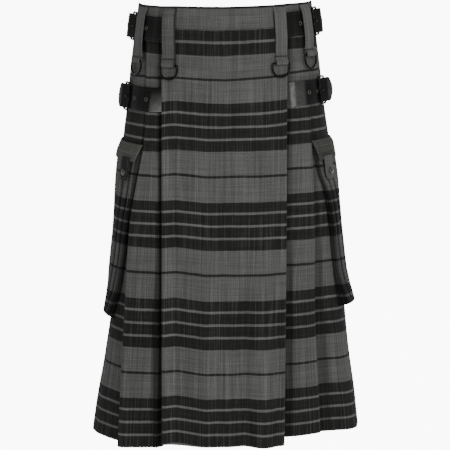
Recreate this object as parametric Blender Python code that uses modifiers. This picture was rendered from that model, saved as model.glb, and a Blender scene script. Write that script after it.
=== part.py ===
"""Utility kilt in tartan cloth, worn shape, held at the waist.

Frame: metres, +Z up, front of the kilt towards -Y, +X to the viewer's right.
The origin is the centre of the waist, level with the top edge of the waistband.

Every cloth panel is an open surface with a Solidify wall.  A point of the kilt
is given by its angle round the body (0 at the front centre, + to +X), its drop
below the top edge and its distance off the body line.
"""
import math

import bmesh
import bpy
import numpy as np
from mathutils import Matrix, Vector

MM = 0.001

# ---------------------------------------------------------------- driving sizes (mm)
DROP_LENGTH = 608.0        # top edge to hem at the front centre
BAND_HEIGHT = 31.0         # waistband
SEAM_GAP = 0.6             # between the waistband and the cloth under it
CLOTH = 1.5                # wall of the skirt cloth
BAND = 2.2                 # wall of the waistband, two layers of cloth
WEB = 1.2                  # wall of a belt loop
LOOP_WIDTH = 22.0
LEATHER = 2.2
STRAP_HEIGHT = 34.0
RING_WIRE = 1.4            # radius
RING_INSIDE = 24.0         # width between the sides of a ring
RING_REACH = 19.0          # bar to the far side, centre lines
FRAME_WIRE = 1.5           # radius of a buckle frame
FRAME_HALF = (10.0, 19.0)  # half of the frame across and up, centre lines
PIN = 0.9                  # radius of a buckle pin
APRON_OFF = 2.7            # outer face of the apron off the body line
BAND_REAR = -0.1           # outer face of the rear waistband off the body line
FOLD = 1.4                 # half of the space between the two layers of a fold

# body line: drop, half width, depth in front, depth behind
BODY = (
    (0, 122, 92, 96),
    (31, 126, 96, 100),
    (70, 131, 99, 106),
    (98, 134.5, 101, 112),
    (130, 138, 103, 120),
    (166, 143.5, 105.5, 127),
    (200, 149, 108, 132),
    (250, 155, 112, 136),
    (302, 159, 116, 139),
    (370, 164, 121, 143),
    (438, 169, 127, 148),
    (500, 175.5, 132, 152),
    (560, 185, 137, 156),
    (608, 191, 141, 160),
)
DROPS = [row[0] for row in BODY]
SKIRT_DROPS = [BAND_HEIGHT + SEAM_GAP] + [d for d in DROPS if d > BAND_HEIGHT]

# heights at which the panels' own tables are given
STATIONS = (0, 98, 166, 302, 438, 608)
# how much each panel hangs higher than level (mm)
LIFT = {
    "apron_left": (0, 1.5, 0, 0, 0, 0),
    "apron_right": (1.5, 4, 1.5, 0, 0, 0),
    "pleat_left": (-1, 0, -3.5, -2, -4, -10),
    "pleat_right": (2.5, 8, 6.5, 8, 6, 4),
    "side_left": (-1, 0, -3, -2, -3.5, -8),
    "side_right": (2.5, 8, 7, 7, 5, -1),
}


def at(table, drop):
    """Value of a STATIONS table at one drop."""
    return float(np.interp(drop, STATIONS, table))


def body(drop):
    """Half width, front depth and back depth of the body line."""
    return [float(np.interp(drop, DROPS, [row[i] for row in BODY])) for i in (1, 2, 3)]


def lift(angle, drop):
    """Rise of the cloth at an angle (degrees): none at the front centre, a panel's own at its middle."""
    side = "right" if angle > 0 else "left"
    names = ("apron_" + side, "pleat_" + side, "side_" + side)
    rises = [0.0] + [at(LIFT[name], drop) for name in names]
    behind = 0.5 * (at(LIFT["side_left"], drop) + at(LIFT["side_right"], drop))
    return float(np.interp(abs(angle), (0, 33, 46, 75, 180), rises + [behind]))


def panel_rise(name, angle, drop):
    """A panel's own rise, which starts from the waistband's rise at the seam under it."""
    free = float(np.interp(drop, (BAND_HEIGHT, 98.0), (0.0, 1.0)))
    return (1.0 - free) * lift(angle, drop) + free * at(LIFT[name], drop)


# the waist sits lower behind: mm at the centre back, and the drop at which that has faded out
BACK_DIP = 17.0
BACK_DIP_END = 420.0


def surf(angle, drop, off=0.0, rise=None):
    """Point (mm) at an angle in degrees, a drop and a distance off the body line."""
    wide, front, back = body(drop)
    a = math.radians(angle)
    deep = front if math.cos(a) >= 0 else back
    up = lift(angle, drop) if rise is None else rise
    dip = BACK_DIP * max(0.0, -math.cos(a)) * max(0.0, 1.0 - drop / BACK_DIP_END)
    return Vector(((wide + off) * math.sin(a), -(deep + off) * math.cos(a), up - drop - dip))


def angle_of(x, drop, off=0.0):
    """Angle on the front half whose point has this x."""
    wide = body(drop)[0] + off
    return math.degrees(math.asin(max(-1.0, min(1.0, x / wide))))


def slide(angle, mm, drop):
    """Angle after moving this far along the waist."""
    wide, front, back = body(drop)
    a = math.radians(angle)
    deep = front if math.cos(a) >= 0 else back
    rate = math.hypot(wide * math.cos(a), deep * math.sin(a))
    return angle + math.degrees(mm / rate)


# ---------------------------------------------------------------- scene helpers
def clean():
    for thing in list(bpy.data.objects):
        bpy.data.objects.remove(thing, do_unlink=True)


def collection(name):
    made = bpy.data.collections.new(name)
    bpy.context.scene.collection.children.link(made)
    return made


def material(name, colour, roughness, metallic=0.0):
    made = bpy.data.materials.new(name)
    made.use_nodes = True
    shader = made.node_tree.nodes["Principled BSDF"]
    shader.inputs["Base Color"].default_value = (*colour, 1.0)
    shader.inputs["Roughness"].default_value = roughness
    shader.inputs["Metallic"].default_value = metallic
    return made


def add_object(name, data, mat, group):
    thing = bpy.data.objects.new(name, data)
    data.materials.append(mat)
    group.objects.link(thing)
    return thing


def sheet(name, rows, wall, mat, group, holes=(), closed=False):
    """Open grid of points (mm), rows by columns, made a wall on both sides of the grid.

    holes: (row, column) of the quads left out.  closed: the last column meets the
    first.  The grid's faces look away from the body where the columns run to
    +angle and the rows run down.
    """
    mesh = bpy.data.meshes.new(name)
    high, wide = len(rows), len(rows[0])
    points = [tuple(MM * c for c in point) for row in rows for point in row]
    faces = []
    for i in range(high - 1):
        for j in range(wide if closed else wide - 1):
            if (i, j) in holes:
                continue
            k, after = i * wide + j, i * wide + (j + 1) % wide
            faces.append((k, k + wide, after + wide, after))
    mesh.from_pydata(points, [], faces)
    mesh.update()
    thing = add_object(name, mesh, mat, group)
    solid = thing.modifiers.new("wall", "SOLIDIFY")
    solid.thickness = wall * MM
    solid.offset = 0.0
    solid.use_even_offset = True
    solid.use_rim = True
    return thing


def wire(name, points, radius, mat, group, closed=False, sides=2):
    """Round wire along points (mm)."""
    curve = bpy.data.curves.new(name, "CURVE")
    curve.dimensions = "3D"
    curve.bevel_depth = radius * MM
    curve.bevel_resolution = sides
    curve.use_fill_caps = not closed
    line = curve.splines.new("POLY")
    line.points.add(len(points) - 1)
    for knot, point in zip(line.points, points):
        knot.co = (*(MM * c for c in point), 1.0)
    line.use_cyclic_u = closed
    return add_object(name, curve, mat, group)


class Seat:
    """Flat local frame on the kilt: s along the waist to the back, n outward, v up the cloth."""

    def __init__(self, angle, drop, off=0.0):
        step = 4.0
        self.origin = surf(angle, drop, off)
        side = 1.0 if angle >= 0 else -1.0
        self.side = side
        ahead = surf(angle + side * step, drop, off)
        behind = surf(angle - side * step, drop, off)
        self.along = (ahead - behind).normalized()
        self.along.z = 0.0
        self.along.normalize()
        self.up = (surf(angle, drop - 15, off) - surf(angle, drop + 15, off)).normalized()
        self.out = self.along.cross(self.up) * side
        self.out.normalize()
        self.up = self.out.cross(self.along) * side
        self.up.normalize()

    def point(self, s, n, v):
        return self.origin + self.along * s + self.out * n + self.up * v


# ---------------------------------------------------------------- skirt panels
def panel_rows(path, drops, lift_name=None):
    """Rows of points from a path, a function of the drop that gives (angle, off) columns."""
    rows = []
    for drop in drops:
        row = []
        for angle, off in path(drop):
            rise = None if lift_name is None else panel_rise(lift_name, angle, drop)
            row.append(surf(angle, drop, off, rise))
        rows.append(row)
    return rows


APRON_EDGE = {-1: (-88.3, -88.3, -88.3, -88.3, -88.6, -88.7), 1: (86.3, 86.6, 86.2, 86, 85, 83.7)}


def apron_wave(x, drop):
    """Soft waves of the apron that open towards the hem."""
    grow = max(0.0, (drop - 200.0) / (DROP_LENGTH - 200.0)) ** 1.6
    ridge = 13.0 * math.exp(-((x - 56.0) / 19.0) ** 2)
    valley = -5.0 * math.exp(-((x - 26.0) / 13.0) ** 2)
    small = 3.0 * math.exp(-((x + 28.0) / 18.0) ** 2) - 3.0 * math.exp(-((x + 62.0) / 16.0) ** 2)
    return grow * (ridge + valley + small)


def apron_path(drop):
    """Front apron with its side edges turned in."""
    middle = APRON_OFF - CLOTH / 2
    left = at(APRON_EDGE[-1], drop)
    right = at(APRON_EDGE[1], drop)
    turn = 6.0 * max(0.0, (drop - 170.0) / 438.0)
    xs = np.linspace(left + 1.4, right - 1.4, 19)
    columns = [(x, middle + apron_wave(x, drop)) for x in xs]
    first = (left + 0.75, columns[0][1] - turn)
    last = (right - 0.75, columns[-1][1] - turn)
    columns = [first] + columns + [last]
    return [(angle_of(x, drop, off), off) for x, off in columns]


# path points of the two pleat panels: x (mm) and outer face off the body line, at STATIONS
PLEAT = {
    -1: {
        "tuck": ((-66, -68, -70, -74, -78, -80), (-1.2, -3.4, -4.2, -12, -18, -24)),
        "inner": ((-93, -94, -95.5, -97, -99.5, -104), (-0.4, -2.4, -3, -6, -9, -12)),
        "middle": ((-102, -103, -104, -114, -119, -127), (-0.4, -2, -1.8, -0.5, 0, 2)),
        "outer": ((-112, -112.5, -113, -132.5, -141.5, -150.5), (-0.4, -1.8, -0.8, 4, 8, 12)),
    },
    1: {
        "tuck": ((66, 68, 68, 70, 72, 74), (-1.2, -3.4, -5, -20, -32, -36)),
        "inner": ((91, 92, 93, 94.3, 96, 97.8), (-0.4, -2.4, -3, -12, -20, -22)),
        "middle": ((106, 107, 107.5, 111.5, 113.5, 117), (-0.4, -2, -2, -9, -17, -20)),
        "outer": ((119, 120.5, 121.5, 130, 132, 136.8), (-0.4, -1.8, -0.9, -5, -14, -18)),
    },
}


def fold_angle(side, drop):
    """Angle from the front of a pleat panel's outer fold."""
    return abs(angle_of(at(PLEAT[side]["outer"][0], drop), drop))


def pleat_path(side):
    """Columns of a pleat panel: tucked edge, inner fold, face, outer fold and the cloth turned under."""
    table = PLEAT[side]

    def spot(name, drop, back=0.0, inward=0.0):
        xs, offs = table[name]
        angle = abs(angle_of(at(xs, drop), drop))
        return side * slide(angle, -back, drop), at(offs, drop) - CLOTH / 2 - inward

    def path(drop):
        depth = at((1.0, 1.0, 1.2, 2.0, 2.5, 3.0), drop)
        last = side * slide(fold_angle(side, drop), -17.0, drop)
        tuck, recess = spot("tuck", drop), spot("inner", drop, 1.6, depth)
        columns = [
            tuck,
            ((tuck[0] + recess[0]) / 2, (tuck[1] + recess[1]) / 2),
            recess,
            spot("inner", drop),
            spot("inner", drop, -6.0, -0.2),
            spot("middle", drop),
            spot("outer", drop, 7.0, 0.1),
            spot("outer", drop, 1.5),
            spot("outer", drop, 0.4, FOLD * 0.4),
            spot("outer", drop, 0.4, FOLD * 1.3),
            spot("outer", drop, 1.5, FOLD * 1.7),
            (last, at(SIDE[side]["tuck"], drop) + 0.8 + CLOTH / 2),
        ]
        return columns if side > 0 else columns[::-1]

    return path


SIDE_REAR = 116.0          # angle of the side panels' rear edge
# outer face of the side panels off the body line, at STATIONS.  "tuck" and "inner" lie under the
# pleat panel, "edge" just clear of its fold, and the rest stand at a share of the way to 90 degrees.
SIDE = {
    -1: {
        "tuck": (-6.0, -7.0, -7.0, -9, -14, -22),
        "inner": (-5.9, -6.8, -6.2, -7.2, -11, -17),
        "edge": (-5.2, -6.0, -4.6, -5.0, -8, -14),
        0.35: (0, 0, -1, -5, -6, -8),
        0.68: (0, 0, -1.2, -6, -5, -2.5),
        1.0: (0, 0, -1.5, -7, -5, 0),
    },
    1: {
        "tuck": (-6.2, -7.4, -8.6, -21.5, -37, -47),
        "inner": (-5.9, -7.0, -7.4, -15.8, -28.5, -37.5),
        "edge": (-5.2, -6.0, -5.4, -12, -24, -32),
        0.35: (0, 0, -0.4, -4, -13, -18),
        0.68: (0, 0, -0.5, -1.5, -0.5, 0),
        1.0: (0, 0, -0.5, -1.5, 3, 2),
    },
}
SIDE_BEHIND = {-1: {99: (0, 0, -1.5, -6.5, -4.5, 1), 108: (0, 0, -1, -4, -2, 2)},
               1: {99: (0, 0, -0.5, -1, 3, 3), 108: (0, 0, 0, 0, 2, 2)}}


def side_profile(side, drop):
    """Angles from the front and outer faces of a side panel at one drop."""
    table = SIDE[side]
    fold = fold_angle(side, drop)
    edge = slide(fold, 1.5, drop)
    profile = [
        (slide(fold, -19.0, drop), at(table["tuck"], drop)),
        (slide(fold, -13.5, drop), at(table["tuck"], drop) - 0.3),
        (slide(fold, -6.0, drop), at(table["inner"], drop)),
        (edge, at(table["edge"], drop)),
    ]
    for share in sorted(k for k in table if not isinstance(k, str)):
        profile.append((edge + (90.0 - edge) * share, at(table[share], drop)))
    for angle in sorted(SIDE_BEHIND[side]):
        profile.append((float(angle), at(SIDE_BEHIND[side][angle], drop)))
    profile.append((SIDE_REAR, 0.0))
    return profile


def side_path(side):
    def path(drop):
        columns = [(side * turn, off - CLOTH / 2) for turn, off in side_profile(side, drop)]
        return columns if side > 0 else columns[::-1]

    return path


def side_off(side, turn, drop):
    """Outer face of the side panel off the body line, at an angle from the front."""
    profile = side_profile(side, drop)
    return float(np.interp(turn, [p[0] for p in profile], [p[1] for p in profile]))


UNDER_APRON_SHORT = 8.0    # the under apron ends this far above the hem


def under_apron_path(drop):
    """Under apron: across the front behind the apron, its ends behind the pleat panels' tucked edges."""
    left, right = (at(PLEAT[side]["tuck"][0], drop) + side * 12.0 for side in (-1, 1))
    depths = [at(PLEAT[side]["tuck"][1], drop) - CLOTH - 1.3 for side in (-1, 1)]
    columns = []
    for x in np.linspace(left, right, 11):
        off = float(np.interp(x, (left + 12.0, right - 12.0), depths)) - CLOTH / 2
        columns.append((angle_of(x, drop, off), off))
    return columns


PLEATS_BEHIND = 8
BACK_START = 108.0         # angle at which the back panel starts, under the side panel


def back_path(drop):
    """Knife pleats round the back, from the +X side to the -X side, all laid one way."""
    under = -CLOTH - 0.7
    open_out = max(0.0, (drop - 150.0) / 450.0)
    stack = 2 * FOLD + 0.4 + 7.0 * open_out
    first = SIDE_REAR + 5.0
    last = 360.0 - SIDE_REAR - 5.0
    pitch = (last - first) / PLEATS_BEHIND
    overlap = 4.6 - 1.6 * open_out
    top = -CLOTH / 2 + 3.0 * open_out
    start = [under - CLOTH / 2 + side_off(side, BACK_START, drop) for side in (1, -1)]
    columns = [(BACK_START, start[0]), (SIDE_REAR - 1.0, under - CLOTH / 2 - 0.4)]
    columns.append((SIDE_REAR + 2.5, under - CLOTH / 2 - 2.2))
    for i in range(PLEATS_BEHIND):
        edge = first + pitch * i
        end = edge + pitch
        bottom = top - 2 * stack
        inner = end + overlap if i < PLEATS_BEHIND - 1 else end + 1.5
        if i == 0:
            columns.append((edge + overlap, bottom + stack * 0.15))
            columns.append((edge + overlap + 0.5, bottom + stack * 0.5))
            columns.append((edge + overlap, bottom + stack * 0.85))
        columns.append((edge + 0.6, top - FOLD * 1.35))
        columns.append((edge, top - FOLD * 0.6))
        columns.append((edge + 0.6, top))
        columns.append((edge + pitch * 0.55, top - stack * 0.35))
        if i < PLEATS_BEHIND - 1:
            columns.append((inner - 0.5, bottom + stack * 0.12))
            columns.append((inner, bottom + stack * 0.45))
            columns.append((inner - 0.5, bottom + stack * 0.85))
    columns.append((360.0 - SIDE_REAR - 2.0, under - CLOTH / 2 - 1.6))
    columns.append((360.0 - SIDE_REAR + 1.0, under - CLOTH / 2 - 0.2))
    columns.append((360.0 - BACK_START, start[1]))
    return columns


def back_lift(angle, drop):
    return lift(angle if angle <= 180.0 else angle - 360.0, drop)


def make_skirt(cloth, group):
    sheet("apron", panel_rows(apron_path, SKIRT_DROPS), CLOTH, cloth, group)
    short = SKIRT_DROPS[:-1] + [SKIRT_DROPS[-1] - UNDER_APRON_SHORT]
    sheet("under_apron", panel_rows(under_apron_path, short), CLOTH, cloth, group)
    for side, word in ((-1, "left"), (1, "right")):
        rows = panel_rows(pleat_path(side), SKIRT_DROPS, "pleat_" + word)
        sheet("pleat_panel_" + word, rows, CLOTH, cloth, group)
        rows = panel_rows(side_path(side), SKIRT_DROPS)
        sheet("side_panel_" + word, rows, CLOTH, cloth, group)
    rows = []
    for drop in SKIRT_DROPS:
        rows.append([surf(a, drop, off, back_lift(a, drop)) for a, off in back_path(drop)])
    sheet("back_panel", rows, CLOTH, cloth, group)


# ---------------------------------------------------------------- waistband
def make_waistband(cloth, group):
    drops = (0.0, BAND_HEIGHT / 2, BAND_HEIGHT)

    def front(drop):
        off = APRON_OFF + 0.2 - BAND / 2
        left = angle_of(at(APRON_EDGE[-1], drop), drop, off)
        right = angle_of(at(APRON_EDGE[1], drop), drop, off)
        return [(a, off) for a in np.linspace(left, right, 17)]

    def rear(drop):
        off = BAND_REAR - BAND / 2
        return [(a, off) for a in np.linspace(0.0, 360.0, 72, endpoint=False)]

    sheet("waistband_front", panel_rows(front, drops), BAND, cloth, group)
    rows = []
    for drop in drops:
        rows.append([surf(a, drop, off, back_lift(a, drop)) for a, off in rear(drop)])
    sheet("waistband", rows, BAND, cloth, group, closed=True)


# ---------------------------------------------------------------- belt loops and rings
# name: angle, surface under the loop (mm off the body line), drop of the ring's bar
LOOPS = {
    "side_left": (-66.0, 0.0, 79.0),
    "front_left": (-36.6, 2.9, 82.0),
    "front_right": (35.6, 2.9, 82.0),
    "side_right": (62.0, 0.0, 76.0),
}
# how far the foot of a loop hangs to the kilt's +X side of the panel's own slope
LOOP_LEAN = {"side_left": 0.0, "front_left": 5.5, "front_right": -3.6, "side_right": 0.0}
BACK_LOOP_ANGLE = 180.0
TAB_MID = WEB / 2 + 0.35   # middle of the cloth layer that lies on the panel
BAR_OUT = WEB + 0.35 + 0.35 + RING_WIRE
WRAP = RING_WIRE + 0.35 + WEB / 2


def loop_profile(bar):
    """Drop and distance off the panel of a loop's middle line, from the top edge round the ring's bar."""
    line = [
        (1.0, TAB_MID),
        (6.0, TAB_MID + 1.0),
        (11.0, TAB_MID + 3.0),
        (16.0, TAB_MID + 3.6),
        (32.0, TAB_MID + 3.9),
        (50.0, TAB_MID + 3.6),
        (60.0, TAB_MID + 2.5),
        (bar - 10.0, TAB_MID + WEB + 0.4),
        (bar - 6.0, TAB_MID + WEB + 0.8),
        (bar - 2.0, BAR_OUT + WRAP * 0.93),
    ]
    for k in range(7):
        turn = math.radians(20.0 + 140.0 * k / 6.0)
        line.append((bar + WRAP * math.sin(turn), BAR_OUT + WRAP * math.cos(turn)))
    line.append((bar - 3.0, TAB_MID))
    line.append((bar - 10.0, TAB_MID))
    return line


def loop_point(angle, base, drop, out, across, bar=1000.0):
    """Point of a loop: the panel's point at this drop, moved out and across in the loop's own plane."""
    held = min(drop, bar - 4.0)
    seat = Seat(angle, held, base)
    flat = Seat(angle, bar if bar < 1000.0 else 60.0, base)
    return seat.origin - flat.up * (drop - held) + flat.out * out + flat.along * (across * flat.side)


def make_loop(name, angle, base, bar, cloth, group):
    half = LOOP_WIDTH / 2
    rows = []
    for drop, out in loop_profile(bar):
        lean = LOOP_LEAN[name] * min(drop / bar, 1.0)
        rows.append([loop_point(angle, base, drop, out, across + lean, bar) for across in (-half, 0.0, half)])
    sheet("belt_loop_" + name, rows, WEB, cloth, group)


def make_ring(name, angle, base, bar, metal, group):
    """D ring: its straight bar lies in the loop's fold and is the hinge line, which carries the origin."""
    seat = Seat(angle, bar, base)
    hinge = loop_point(angle, base, bar, BAR_OUT, LOOP_LEAN[name], bar)
    half = RING_INSIDE / 2 + RING_WIRE
    corner = 1.8
    outline = [(half - corner, 0.0), (half - 0.5, 0.5), (half, corner)]
    straight = RING_REACH - half * 0.86
    for k in range(11):
        turn = math.pi * k / 10.0
        outline.append((half * math.cos(turn), straight + half * 0.86 * math.sin(turn)))
    outline += [(-half, corner), (-half + 0.5, 0.5), (-half + corner, 0.0)]
    points = [seat.along * across - seat.up * down for across, down in outline]
    ring = wire("d_ring_" + name, points, RING_WIRE, metal, group, closed=True)
    ring.location = hinge * MM
    return ring


def make_back_loop(cloth, group):
    """Plain loop at the centre back, sewn at both ends."""
    line = [(1.0, TAB_MID), (6.0, TAB_MID + 1.0), (12.0, TAB_MID + 5.2), (34.0, TAB_MID + 5.2)]
    line += [(52.0, TAB_MID + 4.6), (60.0, TAB_MID + 1.4), (66.0, TAB_MID)]
    half = LOOP_WIDTH / 2
    base = 0.3
    rows = []
    for drop, out in line:
        foot = surf(BACK_LOOP_ANGLE, drop, base, back_lift(BACK_LOOP_ANGLE, drop))
        rows.append([foot + Vector((-across, out, 0.0)) for across in (-half, 0.0, half)])
    sheet("belt_loop_back", rows, WEB, cloth, group)


# ---------------------------------------------------------------- leather straps and buckles
# name: angle of the buckle, drop of the strap's middle, first angle, end past the buckle, flare of the end
STRAPS = {
    "upper_left": (-80.0, 32.0, -32.5, 19.0, -1.0),
    "upper_right": (78.0, 29.5, 31.5, 20.0, -1.5),
    "lower_left": (-77.0, 129.0, -36.5, 24.0, -0.5),
    "lower_right": (74.5, 129.0, 36.0, 27.0, 0.5),
}
LIE = 0.7                                    # strap's inner face off the cloth
UNDER_BAR = 0.9                              # strap's middle under the frame's front bar
BAR_LEVEL = UNDER_BAR + LEATHER / 2 + 0.4 + FRAME_WIRE
HOOK = FRAME_WIRE + 0.35 + PIN
OVER_HEEL = BAR_LEVEL + HOOK + PIN + 0.4 + LEATHER / 2
PIN_LEVEL = BAR_LEVEL + HOOK


def strap_off(name, angle):
    """Middle of the strap off the body line, along the waist."""
    mid = LIE + LEATHER / 2
    turn = abs(angle)
    if name.startswith("upper"):
        step = APRON_OFF + 0.2
        return mid + float(np.interp(turn, (0, 45.5, 51.0, 90), (step + 0.15, step + 0.15, 0.1, 0.1)))
    under = APRON_OFF - CLOTH - 0.6 - LEATHER / 2
    return float(np.interp(turn, (0, 44.0, 55.0, 60.0, 90.0), (under, under, mid - 0.9, mid, mid)))


def strap_rows(name):
    angle, drop, start, end, flare = STRAPS[name]
    seat = Seat(angle, drop)
    side = seat.side
    half = STRAP_HEIGHT / 2
    heights = (half, half / 3, -half / 3, -half)
    rows = []
    first = abs(start)
    last = abs(angle) - 9.0
    for turn in np.linspace(first, last, 12):
        off = strap_off(name, turn)
        rows.append([surf(side * turn, drop - v, off) for v in heights])
    run = [(-13.5, UNDER_BAR - 0.75), (-10.0, UNDER_BAR), (-7.4, UNDER_BAR + 0.35)]
    run += [(-2.5, UNDER_BAR + 3.0), (2.5, OVER_HEEL - 2.6), (7.0, OVER_HEEL - 0.2), (10.0, OVER_HEEL)]
    run += [(13.0, OVER_HEEL + flare * 0.2)]
    for s, n in run:
        rows.append([seat.point(s, n, v) for v in heights])
    # the end narrows to a blunt point
    taper = ((0.35, 0.93), (0.7, 0.66), (0.92, 0.34), (1.0, 0.16))
    for part, size in taper:
        s = 13.0 + (end - 13.0) * part
        n = OVER_HEEL + flare * (0.2 + 0.8 * part)
        rows.append([seat.point(s, n, v * size) for v in heights])
    return rows, seat


def cylinder_between(name, start, end, radius, group):
    """Cutter along a line (mm)."""
    mesh = bpy.data.meshes.new(name)
    build = bmesh.new()
    run = end - start
    turn = run.to_track_quat("Z", "Y").to_matrix().to_4x4()
    place = Matrix.Translation((start + end) * 0.5 * MM) @ turn
    bmesh.ops.create_cone(build, cap_ends=True, segments=12, radius1=radius * MM, radius2=radius * MM,
                          depth=run.length * MM, matrix=place)
    build.to_mesh(mesh)
    build.free()
    thing = bpy.data.objects.new(name, mesh)
    group.objects.link(thing)
    thing.hide_render = True
    thing.display_type = "WIRE"
    return thing


def make_strap(name, leather, group, cutters):
    rows, seat = strap_rows(name)
    # rows run along the waist here, so the grid is turned to keep its faces outward
    grid = [list(column)[::int(seat.side)] for column in zip(*rows)]
    thing = sheet("strap_" + name, grid, LEATHER, leather, group)
    start = seat.point(-8.0, PIN_LEVEL, 0.0)
    end = seat.point(11.0, PIN_LEVEL, 0.0)
    cutter = cylinder_between("slot_" + name, start, end, PIN + 0.33, cutters)
    cut = thing.modifiers.new("pin hole", "BOOLEAN")
    cut.operation = "DIFFERENCE"
    cut.object = cutter
    return thing


def make_frame(name, seat, metal, group):
    """Rectangular buckle frame of round wire with rounded corners."""
    across, up = FRAME_HALF
    corner = 3.5
    points = []
    for quarter, (sx, sy) in enumerate(((1, 1), (-1, 1), (-1, -1), (1, -1))):
        for k in range(5):
            turn = math.radians(90.0 * quarter + 22.5 * k)
            s = sx * (across - corner) + corner * math.cos(turn)
            v = sy * (up - corner) + corner * math.sin(turn)
            points.append(seat.point(s, BAR_LEVEL, v) - seat.origin)
    thing = wire("buckle_frame_" + name, points, FRAME_WIRE, metal, group, closed=True)
    thing.location = seat.origin * MM
    return thing


def make_pin(name, seat, metal, group):
    """Buckle pin: a hook round the heel bar and a straight pin onto the front bar."""
    across = FRAME_HALF[0]
    points = []
    for k in range(9):
        turn = math.radians(200.0 - 200.0 * k / 8.0)
        points.append((across + HOOK * math.sin(turn), BAR_LEVEL + HOOK * math.cos(turn)))
    points += [(across * 0.4, PIN_LEVEL), (-across * 0.4, PIN_LEVEL), (-across - 1.6, PIN_LEVEL)]
    line = [seat.point(s, n, 0.0) for s, n in points]
    return wire("buckle_pin_" + name, line, PIN, metal, group)


def make_chape(name, seat, angle, drop, leather, group):
    """Leather loop that holds the heel bar, slotted for the pin, sewn to the side panel behind it."""
    wall = 1.2
    around = FRAME_WIRE + 0.35 + wall / 2
    across = FRAME_HALF[0]
    high = 14.5
    heights = (high, 2.4, -2.4, -high)
    side = seat.side
    rear = LIE + wall / 2
    profile = []
    for k in range(9):
        turn = math.radians(24.0 - (24.0 + 204.0) * k / 8.0)
        profile.append((across + around * math.sin(turn), BAR_LEVEL + around * math.cos(turn)))
    near = across + 5.0
    profile = [(near, BAR_LEVEL + around * 0.72)] + profile + [(near, BAR_LEVEL - around * 0.85)]
    loop = [[seat.point(s, n, v) for v in heights] for s, n in profile]
    # both ends lie on the cloth behind the heel bar, one over the other
    ends = []
    for level, runs in ((rear + wall + 0.3, (32.0, 24.0)), (rear, (24.0, 32.0))):
        for run in runs:
            turn = slide(abs(angle), run, drop)
            ends.append([surf(side * turn, drop - v, level) for v in heights])
    rows = ends[:2] + loop + ends[2:]
    grid = [list(column) for column in zip(*rows)]
    slots = {(1, j) for j in range(2, 2 + len(profile) - 1)}
    if side < 0:
        grid = grid[::-1]
    return sheet("chape_" + name, grid, wall, leather, group, holes=slots)


# ---------------------------------------------------------------- cargo pockets
# front edge of the pocket, just behind the pleat panel's fold: drop, angle
POCKET_FRONT = {
    -1: ((204, 54.8), (255, 56.4), (285, 57.8), (350, 61.6), (405, 67.0), (441, 74.0)),
    1: ((204, 58.0), (245, 61.0), (265, 64.5), (325, 70.0), (395, 74.0), (436, 77.0)),
}
POCKET_TO = 111.0
POCKET_TOP = 204.0
POCKET_LOW = {-1: 441.0, 1: 434.0}
POCKET_STAND = {           # how far the pocket's face stands off the side: drop, distance
    -1: ((204, 3.0), (300, 6.0), (400, 7.0), (441, 11.0)),
    1: ((204, 3.0), (300, 7.0), (385, 7.0), (405, 9.5), (434, 16.0)),
}
POCKET_MOUTH = 3.0
FLAP_TOP = {-1: 190.0, 1: 195.0}
FLAP_HIGH = {-1: 25.0, 1: 29.0}
FLAP_KNEE = {-1: 1.0, 1: 2.4}     # how far the flap stands out 5 mm below its top edge
FLAP_FRONT = {-1: (50.5, 54.0), 1: (54.2, 59.0)}    # angle of the front edge at the top and at the foot
FLAP_TO = POCKET_TO + 2.0


def pocket_height(side, drop):
    """Stand-off of the pocket's outer face at a drop."""
    return float(np.interp(drop, *zip(*POCKET_STAND[side])))


def make_pocket(side, word, cloth, group):
    low = POCKET_LOW[side]
    shares = [0.0, 0.035] + list(np.linspace(0.13, 0.87, 7)) + [0.965, 1.0]
    drops = [POCKET_TOP, 230.0, 250.0, 276.0, 302.0, 336.0, 370.0, 400.0, 418.0, low - 4.0, low]
    rows = []
    for drop in drops:
        front = float(np.interp(drop, *zip(*POCKET_FRONT[side])))
        row = []
        for share in shares:
            edge = share in (0.0, 1.0) or drop == low
            stand = CLOTH / 2 + 0.6 if edge else pocket_height(side, drop)
            turn = front + (POCKET_TO - front) * share
            row.append(surf(side * turn, drop, side_off(side, turn, drop) + stand))
        rows.append(row if side > 0 else row[::-1])
    sheet("pocket_" + word, rows, CLOTH, cloth, group)


def flap_off(side, turn, drop):
    """Middle of the flap off the body line: on the pleat panel's edge in front, over the pocket behind."""
    top = FLAP_TOP[side]
    fold = fold_angle(side, drop)
    stand = float(np.interp(drop, (top, top + 5, POCKET_TOP, top + FLAP_HIGH[side]),
                            (0, FLAP_KNEE[side], POCKET_MOUTH, POCKET_MOUTH + 1.0)))
    over = float(np.interp(turn, (fold - 4.0, fold + 2.5, fold + 8.0), (0.0, 0.5, 1.0)))
    pleat = at(PLEAT[side]["outer"][1], drop) + 0.8
    cover = float(np.interp(turn, (fold + 3.0, fold + 11.0), (pleat, -2.0)))
    clear = float(np.interp(drop, (top, top + 5, POCKET_TOP), (CLOTH * 0.5 + 0.45, CLOTH + 0.1, CLOTH + 0.6)))
    return max(cover, side_off(side, turn, drop)) + stand * over + clear


def make_flap(side, word, cloth, group):
    rows = []
    for down in (0.0, 5.0, POCKET_TOP - FLAP_TOP[side], 19.0, FLAP_HIGH[side]):
        front = float(np.interp(down, (0.0, FLAP_HIGH[side]), FLAP_FRONT[side]))
        turns = list(np.linspace(front, front + 15.0, 6)) + list(np.linspace(front + 19.0, FLAP_TO, 10))
        drop = FLAP_TOP[side] + down
        row = [surf(side * turn, drop, flap_off(side, turn, drop)) for turn in turns]
        rows.append(row if side > 0 else row[::-1])
    sheet("pocket_flap_" + word, rows, CLOTH, cloth, group)


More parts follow.
